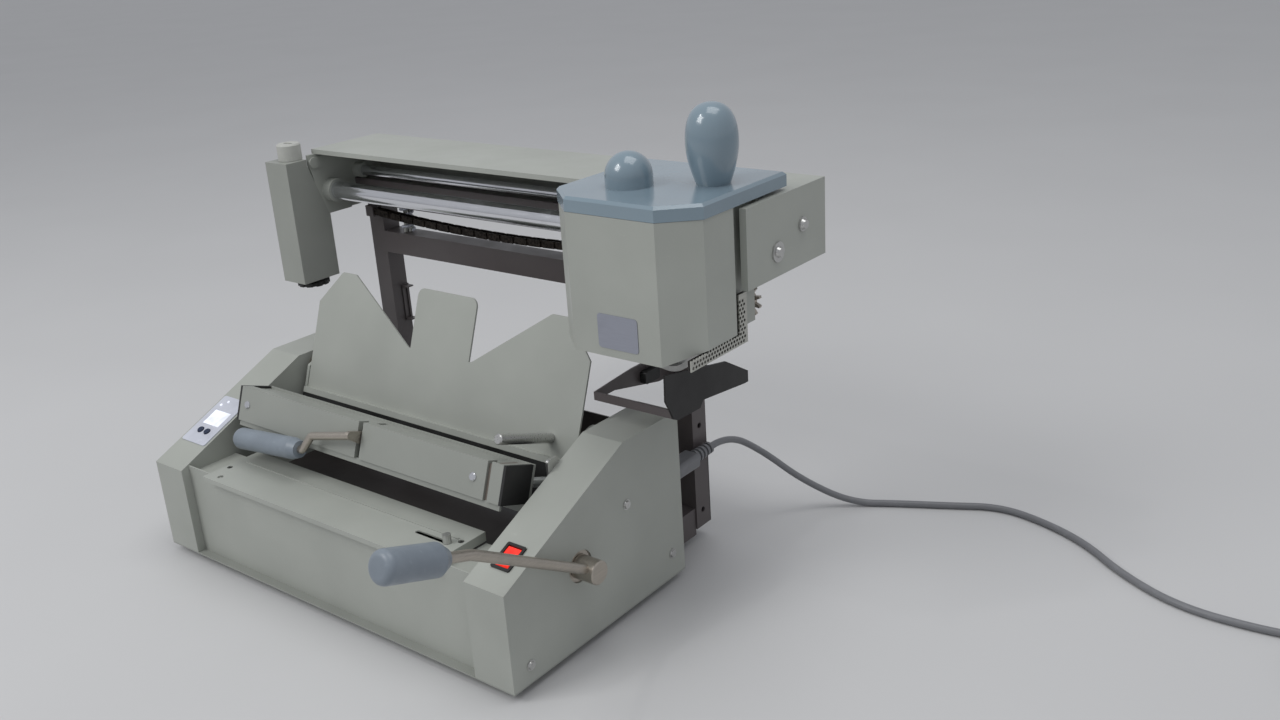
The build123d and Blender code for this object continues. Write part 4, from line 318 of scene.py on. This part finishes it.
def make_finishes(colours):
    """Every finish of the object, by its material slot, or by its own name in PAINTED."""
    # A darker copy of the housing paint, painted shade: worn by the jaws, the mill box, the jaw skirt
    # and the base pan, whose lip stands in for the shadow band under the base.
    shaded_housing = shade(tuple(colours.housing), 0.80)
    top = JAW_EDGE.dot(JAW_UP)
    # The fixed jaw's near-black band is the painted shadow of the gap below the back rest.
    gap_shade = (JAW_UP, *(top + rise for rise in GAP_SHADE_BAND), tint("141414"))
    core = ((1, 0, 0), *SPLIT, tint("6E665F"))
    return {
        "shaded_housing_coat": powder_coat("shaded_housing_coat", shaded_housing),
        # A darker copy of the dark paint for the drip tray's side: painted shade.
        "shaded_tray_coat": powder_coat("shaded_tray_coat", tint("161414"), 0.42),
        "fixed_jaw_coat": powder_coat("fixed_jaw_coat", tuple(colours.housing), stripe=gap_shade),
        "jaw_core_coat": powder_coat("jaw_core_coat", shaded_housing, stripe=core),
        "housing_paint": powder_coat("housing_paint", tuple(colours.housing)),
        "lid_plastic": gloss_enamel("lid_enamel", tuple(colours.lid)),
        "grip_plastic": satin_plastic("grip_plastic", tuple(colours.grip), 0.36),
        "knob_grey": satin_plastic("knob_grey", tint("B4B5AF"), 0.45),
        "frame_steel": powder_coat("gantry_paint", tuple(colours.gantry), 0.36),
        "dark_steel": powder_coat("dark_paint", tint("2C2827"), 0.38),
        "chrome_rail": brushed_metal("chrome_rail", tint("DADBDF"), 0.12, "X", 1.0, 0.03),
        "zinc": brushed_metal("zinc_plate", tint("C4C4C2"), 0.30, "Z", 0.95, 0.08),
        "turned_steel": brushed_metal("turned_steel", tint("B1AAA0"), 0.33, "Y", 0.92, 0.10),
        "chain_steel": oiled_chain("chain_steel", tint("1B1714")),
        "black_plastic": satin_plastic("black_moulding", tint("232323"), 0.48, 1100),
        "rubber_black": soft_rubber("rubber_feet", tint("1C1C1C"), 0.62),
        "panel_silver": satin_plastic("panel_overlay", tint("C3C6D0"), 0.38),
        "display_white": lit_window("lit_display", tint("D8DCE8"), tint("F4F7FF"), 0.55, 60),
        "switch_red": lit_window("lit_rocker", tint("D81810"), (1.0, 0.05, 0.03, 1.0), 0.85, 110),
        "button_dark": satin_plastic("button_blue", tint("1E2A44"), 0.40),
        "label_silver": brushed_metal("satin_plate", tint("9A9DA8"), 0.36, "X", 0.55, 0.05),
        "guard_steel": brushed_metal("guard_sheet", tint("B9B9B2"), 0.34, "Y", 0.85, 0.08),
        "cord_grey": soft_rubber("cord_jacket", tuple(colours.cord), 0.40),
        "wheel_aluminium": brushed_metal("cast_aluminium", tint("B8B8B6"), 0.38, "Y", 0.9, 0.07),
    }


# ---------------------------------------------------------------- shaping

FINISHES = {}


def finish_for(name):
    """A finish by its name, all of them made once in each run."""
    if not FINISHES:
        FINISHES.update(make_finishes(bpy.context.scene.binder_colours))
    return FINISHES[name]


def pick(*pieces):
    """Selects these pieces and nothing else."""
    bpy.ops.object.select_all(action="DESELECT")
    for piece in pieces:
        piece.select_set(True)
    bpy.context.view_layer.objects.active = pieces[0]


def settle(piece, name):
    """Names a piece and puts its place into its mesh."""
    piece.name = name
    pick(piece)
    bpy.ops.object.transform_apply(location=True, rotation=True, scale=True)
    return piece


def dress(piece, body, slot, finish=None):
    """Gives a new piece its finish, the slot's own unless another is named, and its body."""
    piece.data.materials.clear()
    piece.data.materials.append(finish_for(finish or slot))
    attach(piece, body)
    return piece


def block(name, low, high):
    """A plain block between two corners, to be shaped further."""
    middle = [(a + b) / 2 for a, b in zip(low, high)]
    size = [b - a for a, b in zip(low, high)]
    bpy.ops.object.select_all(action="DESELECT")
    bpy.ops.mesh.primitive_cube_add(size=1, location=middle, scale=size)
    return settle(bpy.context.object, name)


def repeat(piece, count, step):
    """Lays copies of a piece in a row."""
    pick(piece)
    row = piece.modifiers.new("row", "ARRAY")
    row.count = count
    row.use_relative_offset = False
    row.use_constant_offset = True
    row.constant_offset_displace = step
    bpy.ops.object.modifier_apply(modifier=row.name)
    return piece


def carve(piece, tool, operation):
    """Joins a tool to a piece or cuts it away, and removes the tool."""
    pick(piece)
    cut = piece.modifiers.new("carve", "BOOLEAN")
    cut.operation = operation
    cut.solver = "EXACT"
    cut.object = tool
    bpy.ops.object.modifier_apply(modifier=cut.name)
    bpy.data.objects.remove(tool)
    return piece


def curve_line(name, points):
    """An open NURBS line through the air, with these control points."""
    data = bpy.data.curves.new(name, "CURVE")
    data.dimensions = "3D"
    spline = data.splines.new("NURBS")
    spline.points.add(len(points) - 1)
    for point, place in zip(spline.points, points):
        point.co = (*place, 1.0)
    spline.order_u = 3
    spline.use_endpoint_u = True
    spline.resolution_u = 8
    piece = bpy.data.objects.new(name, data)
    bpy.context.scene.collection.objects.link(piece)
    return piece


def tube_mesh(piece, radius, sides):
    """Turns a curve into a closed tube of mesh."""
    piece.data.bevel_depth = radius
    piece.data.bevel_resolution = max(0, sides // 4 - 1)
    piece.data.use_fill_caps = True
    pick(piece)
    bpy.ops.object.convert(target="MESH")
    made = bpy.context.object
    bpy.ops.object.shade_smooth_by_angle(angle=math.radians(50))
    return made


# ---------------------------------------------------------------- operators

# Nodes whose paint differs from that of their material slot. All but the screws carry painted shade:
# darker copies of the housing or tray paint, and on the fixed jaw the painted shadow of a gap.
PAINTED = {
    "base_pan": "shaded_housing_coat",
    "drip_side": "shaded_tray_coat",
    "fixed_jaw": "fixed_jaw_coat",
    "jaw_bar": "jaw_core_coat",
    "jaw_plate": "shaded_housing_coat",
    "jaw_covers": "shaded_housing_coat",
    "mill_box": "shaded_housing_coat",
    "jaw_screws": "chrome_rail",
}


class BINDER_OT_finishes(bpy.types.Operator):
    """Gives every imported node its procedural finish"""
    bl_idname = "binder.finishes"
    bl_label = "Finish the packed model"

    def execute(self, context):
        for part in frame["record"]["subparts"]:
            node = NODES[part["node"]]
            node.data.materials.clear()
            node.data.materials.append(finish_for(PAINTED.get(part["node"], part["material_slot"])))
        return {"FINISHED"}


# Where the mains cord runs before it is wound up, in metres, each the middle of the cord.
CORD_EXIT = (0.1904, 0.21498, 0.104)
CORD_ROUTE = [
    CORD_EXIT,
    (0.1904, 0.24698, 0.104),
    (0.2044, 0.28798, 0.072),
    (0.2344, 0.31598, 0.034),
    (0.2764, 0.34798, 0.0035),
    (0.3204, 0.37198, 0.0035),
    (0.3664, 0.39398, 0.0035),
    (0.4144, 0.41898, 0.0035),
    (0.4664, 0.40898, 0.0035),
    (0.5144, 0.38798, 0.0035),
    (0.5604, 0.34998, 0.0035),
    (0.6204, 0.31998, 0.0035),
    (0.6904, 0.31998, 0.0035),
    (0.7364, 0.33098, 0.0035),
]
COIL_MIDDLE = (0.7704, 0.28398)
COIL_STEPS = 24                # points in each turn
COIL_END = 1170                # degrees wound in all
COIL_GAP = 1.004               # between neighbouring turns, as a share of the cord's thickness
COIL_SPREAD = 1.0065           # control points stand a little outside the line they shape


def coil_points(outer, thick):
    """Three and a quarter turns: two beside each other on the floor, the rest on them."""
    inner = outer - thick
    low, high = thick / 2, thick * 1.5
    # Degrees wound, radius and height, with straight changes between them.
    stages = [
        (0, outer, low), (270, outer, low), (360, inner, low), (540, inner, low),
        (630, inner, high), (810, inner, high), (900, outer, high), (COIL_END, outer, high),
    ]
    points = []
    for step in range(COIL_STEPS * COIL_END // 360 + 1):
        wound = min(COIL_END, step * 360 / COIL_STEPS)
        for before, after in zip(stages, stages[1:]):
            if before[0] <= wound <= after[0]:
                share = (wound - before[0]) / (after[0] - before[0])
                break
        radius = (before[1] + (after[1] - before[1]) * share) * COIL_SPREAD
        height = before[2] + (after[2] - before[2]) * share
        turn = math.radians(90 - wound)
        points.append((
            COIL_MIDDLE[0] + radius * math.cos(turn),
            COIL_MIDDLE[1] + radius * math.sin(turn),
            height,
        ))
    return points


class BINDER_OT_mains_cord(bpy.types.Operator):
    """Lays the mains cord from its connector to the wound-up rest and the plug"""
    bl_idname = "binder.mains_cord"
    bl_label = "Mains cord"

    def execute(self, context):
        sizes = context.scene.binder_sizes
        thick = 2 * sizes.cord_radius
        points = CORD_ROUTE + coil_points(sizes.coil_radius, thick * COIL_GAP)
        cord = curve_line("mains_cord", points)
        cord.data.bevel_depth = sizes.cord_radius
        cord.data.bevel_resolution = 4
        cord.data.use_fill_caps = True
        dress(cord, "base", "cord_grey")
        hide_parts("power_cord", "cord_coil")
        return {"FINISHED"}


def angle_sheet(name, low, high, strip, tail):
    """A sheet with a strip along its bottom and an upright at its back."""
    sheet = block(name, low, (high[0], high[1], low[2] + strip))
    upright = block("upright", (low[0], high[1] - tail, low[2]), high)
    return carve(sheet, upright, "UNION")


class BINDER_OT_side_guard(bpy.types.Operator):
    """Builds the perforated sheet that shields the carriage's right side"""
    bl_idname = "binder.side_guard"
    bl_label = "Perforated guard"

    def execute(self, context):
        sizes = context.scene.binder_sizes
        low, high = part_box("side_guard")
        strip = 9.5 * MM               # height of the strip below the carriage's side
        tail = 12 * MM                 # width of the upright strip behind
        tab = (25 * MM, 60 * MM)       # the hidden fixing tab, from the front
        guard = angle_sheet("side_guard_sheet", low, high, strip, tail)
        fixing = block(
            "fixing", (low[0], low[1] + tab[0], low[2]), (high[0], low[1] + tab[1], high[2]),
        )
        carve(guard, fixing, "UNION")
        pitch = sizes.hole_pitch
        rise = pitch * math.sqrt(3) / 2
        rows = int((high[2] - low[2] - 0.6 * pitch) / rise)
        along = int((high[1] - low[1] - 0.8 * pitch) / pitch)
        for shift in (0, 1):
            bpy.ops.object.select_all(action="DESELECT")
            bpy.ops.mesh.primitive_cylinder_add(
                vertices=10, radius=sizes.hole_radius, depth=4 * (high[0] - low[0]),
                location=(
                    (low[0] + high[0]) / 2,
                    low[1] + pitch * (0.7 + shift / 2),
                    low[2] + pitch * 0.65 + rise * shift,
                ),
                rotation=(0, math.pi / 2, 0),
            )
            pins = settle(bpy.context.object, "hole_pins")
            repeat(pins, along, (0, pitch, 0))
            repeat(pins, (rows + 1 - shift) // 2, (0, 0, 2 * rise))
            carve(guard, pins, "DIFFERENCE")
        dress(guard, "carriage", "guard_steel")
        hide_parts("side_guard")

        # A dark sheet stands behind the holes: painted shade of the carriage's inside, seen through
        # them.
        back, front = (low[0] - inset for inset in (2.2 * MM, 1.6 * MM))
        shade_sheet = angle_sheet("guard_shade_sheet", (back, *low[1:]), (front, *high[1:]), strip, tail)
        dress(shade_sheet, "carriage", "dark_steel")
        return {"FINISHED"}


class BINDER_OT_jaw_skirt(bpy.types.Operator):
    """Hangs the narrow skirt under the covers of the moving jaw"""
    bl_idname = "binder.jaw_skirt"
    bl_label = "Jaw skirt"

    def execute(self, context):
        left, right = (corner[0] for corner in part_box("jaw_bar"))
        thick, drop, overlap = 2.5 * MM, 5.5 * MM, 0.3 * MM
        tall = drop + overlap
        skirt = block("jaw_skirt", (left, -thick / 2, -tall / 2), (right, thick / 2, tall / 2))
        skirt.rotation_euler = (-JAW_LEAN, 0, 0)
        ahead = JAW_DEPTH - thick / 2
        down = JAW_DROP + (drop - overlap) / 2
        skirt.location = JAW_EDGE + ahead * JAW_AHEAD - down * JAW_UP
        settle(skirt, "jaw_skirt")
        # The skirt wears the darker copy of the housing paint: painted shade.
        dress(skirt, "jaw", "housing_paint", "shaded_housing_coat")
        return {"FINISHED"}


class BINDER_OT_wire_wrap(bpy.types.Operator):
    """Winds the pale spiral wrap round the heater wires between cross bar and beam"""
    bl_idname = "binder.wire_wrap"
    bl_label = "Wrapped wires"

    def execute(self, context):
        outer = context.scene.binder_sizes.wrap_radius
        middle = (-0.214, 0.207)           # on the cross bar, just inside the left post
        low, high = 0.2832, 0.3198
        turns, steps = 5, 12               # of the wrap, and its points in each turn
        band = 1.6 * MM                    # half the thickness of the wrap's strip
        strand, ring = 2.4 * MM, 3.3 * MM  # radius of a wire, and of the ring they stand on
        points = []
        for step in range(turns * steps + 1):
            turn = step * math.tau / steps
            points.append((
                middle[0] + (outer - band) * math.cos(turn),
                middle[1] + (outer - band) * math.sin(turn),
                low + band + (high - low - 2 * band) * step / (turns * steps),
            ))
        wrap = tube_mesh(curve_line("wire_wrap", points), band, 8)
        settle(wrap, "wire_wrap")
        wires = []
        for k in range(3):
            lean = math.radians(120 * k)
            twist = ((0, low), (0.5, low + 12 * MM), (1.0, low + 24 * MM), (1.5, high))
            line = [
                (middle[0] + ring * math.cos(lean + on), middle[1] + ring * math.sin(lean + on), z)
                for on, z in twist
            ]
            wires.append(tube_mesh(curve_line("heater_wire", line), strand, 8))
        pick(wires[0], *wires[1:])
        bpy.ops.object.join()
        wires = settle(bpy.context.object, "heater_wires")
        dress(wrap, "base", "panel_silver")
        dress(wires, "base", "knob_grey")
        return {"FINISHED"}


class BINDER_OT_stage(bpy.types.Operator):
    """Sets the pale floor, the soft lights and the camera"""
    bl_idname = "binder.stage"
    bl_label = "Studio"

    def execute(self, context):
        scene = context.scene
        bpy.ops.object.select_all(action="DESELECT")
        bpy.ops.mesh.primitive_plane_add(size=60, location=(0, 0, 0))
        floor = bpy.context.object
        floor.name = "studio_floor"
        f = Finish("studio_floor", roughness=0.55)
        colour = tuple(scene.binder_colours.floor)
        cloud = f.span(f.noise(3, 2), 0.3, 0.7)
        f.set(base_color=f.mix(cloud, shade(colour, 0.985), shade(colour, 1.01)))
        floor.data.materials.append(f.material)

        world = bpy.data.worlds.new("studio_air")
        world.use_nodes = True
        air = world.node_tree.nodes["Background"]
        air.inputs["Color"].default_value = (0.93, 0.95, 1.0, 1.0)
        air.inputs["Strength"].default_value = 0.50
        scene.world = world

        lamps = [
            ("key_light", (-1.1, -2.2, 2.4), 1.3, 35),
            ("top_light", (0.5, 0.2, 2.6), 1.6, 18),
            ("lamp_glint", (-0.9, -1.2, 2.4), 0.12, 3),
        ]
        for name, place, size, power in lamps:
            data = bpy.data.lights.new(name, "AREA")
            data.size = size
            data.energy = power
            lamp = bpy.data.objects.new(name, data)
            lamp.location = place
            aim = Vector((0, 0, 0.2)) - Vector(place)
            lamp.rotation_euler = aim.to_track_quat("-Z", "Y").to_euler()
            scene.collection.objects.link(lamp)

        seen = scene.binder_camera
        ahead = Vector((
            -math.sin(seen.yaw) * math.cos(seen.pitch),
            math.cos(seen.yaw) * math.cos(seen.pitch),
            -math.sin(seen.pitch),
        ))
        right = Vector((math.cos(seen.yaw), math.sin(seen.yaw), 0))
        up = right.cross(ahead)
        turned = math.cos(seen.roll) * right + math.sin(seen.roll) * up
        raised = -math.sin(seen.roll) * right + math.cos(seen.roll) * up
        data = bpy.data.cameras.new("camera")
        data.sensor_width = 36
        data.lens = seen.lens
        camera = bpy.data.objects.new("camera", data)
        scene.collection.objects.link(camera)
        turn = Matrix((turned, raised, -ahead)).transposed().to_4x4()
        camera.matrix_world = Matrix.Translation(Vector(seen.place)) @ turn
        scene.camera = camera
        scene.view_settings.view_transform = "Standard"
        return {"FINISHED"}


class BINDER_PT_panel(bpy.types.Panel):
    """Lists the binder's steps in the sidebar"""
    bl_label = "Glue Binder"
    bl_idname = "BINDER_PT_panel"
    bl_space_type = "VIEW_3D"
    bl_region_type = "UI"
    bl_category = "Glue Binder"

    def draw(self, context):
        for group in ("binder_colours", "binder_sizes", "binder_camera"):
            held = getattr(context.scene, group)
            box = self.layout.box()
            for key in held.__annotations__:
                box.prop(held, key)
        for step in STEPS:
            self.layout.operator(step.bl_idname)


STEPS = [
    BINDER_OT_finishes,
    BINDER_OT_mains_cord,
    BINDER_OT_side_guard,
    BINDER_OT_jaw_skirt,
    BINDER_OT_wire_wrap,
    BINDER_OT_stage,
]
GROUPS = {
    "binder_colours": BinderColours,
    "binder_sizes": BinderSizes,
    "binder_camera": BinderCamera,
}


def register():
    for group in GROUPS.values():
        bpy.utils.register_class(group)
    for step in STEPS:
        bpy.utils.register_class(step)
    bpy.utils.register_class(BINDER_PT_panel)
    for name, group in GROUPS.items():
        setattr(bpy.types.Scene, name, bpy.props.PointerProperty(type=group))


def unregister():
    for name in GROUPS:
        delattr(bpy.types.Scene, name)
    bpy.utils.unregister_class(BINDER_PT_panel)
    for step in reversed(STEPS):
        bpy.utils.unregister_class(step)
    for group in GROUPS.values():
        bpy.utils.unregister_class(group)


def main():
    """Builds the whole object and its studio."""
    register()
    bpy.ops.binder.finishes()
    bpy.ops.binder.mains_cord()
    bpy.ops.binder.side_guard()
    bpy.ops.binder.jaw_skirt()
    bpy.ops.binder.wire_wrap()
    bpy.ops.binder.stage()


if __name__ == "__main__":
    main()
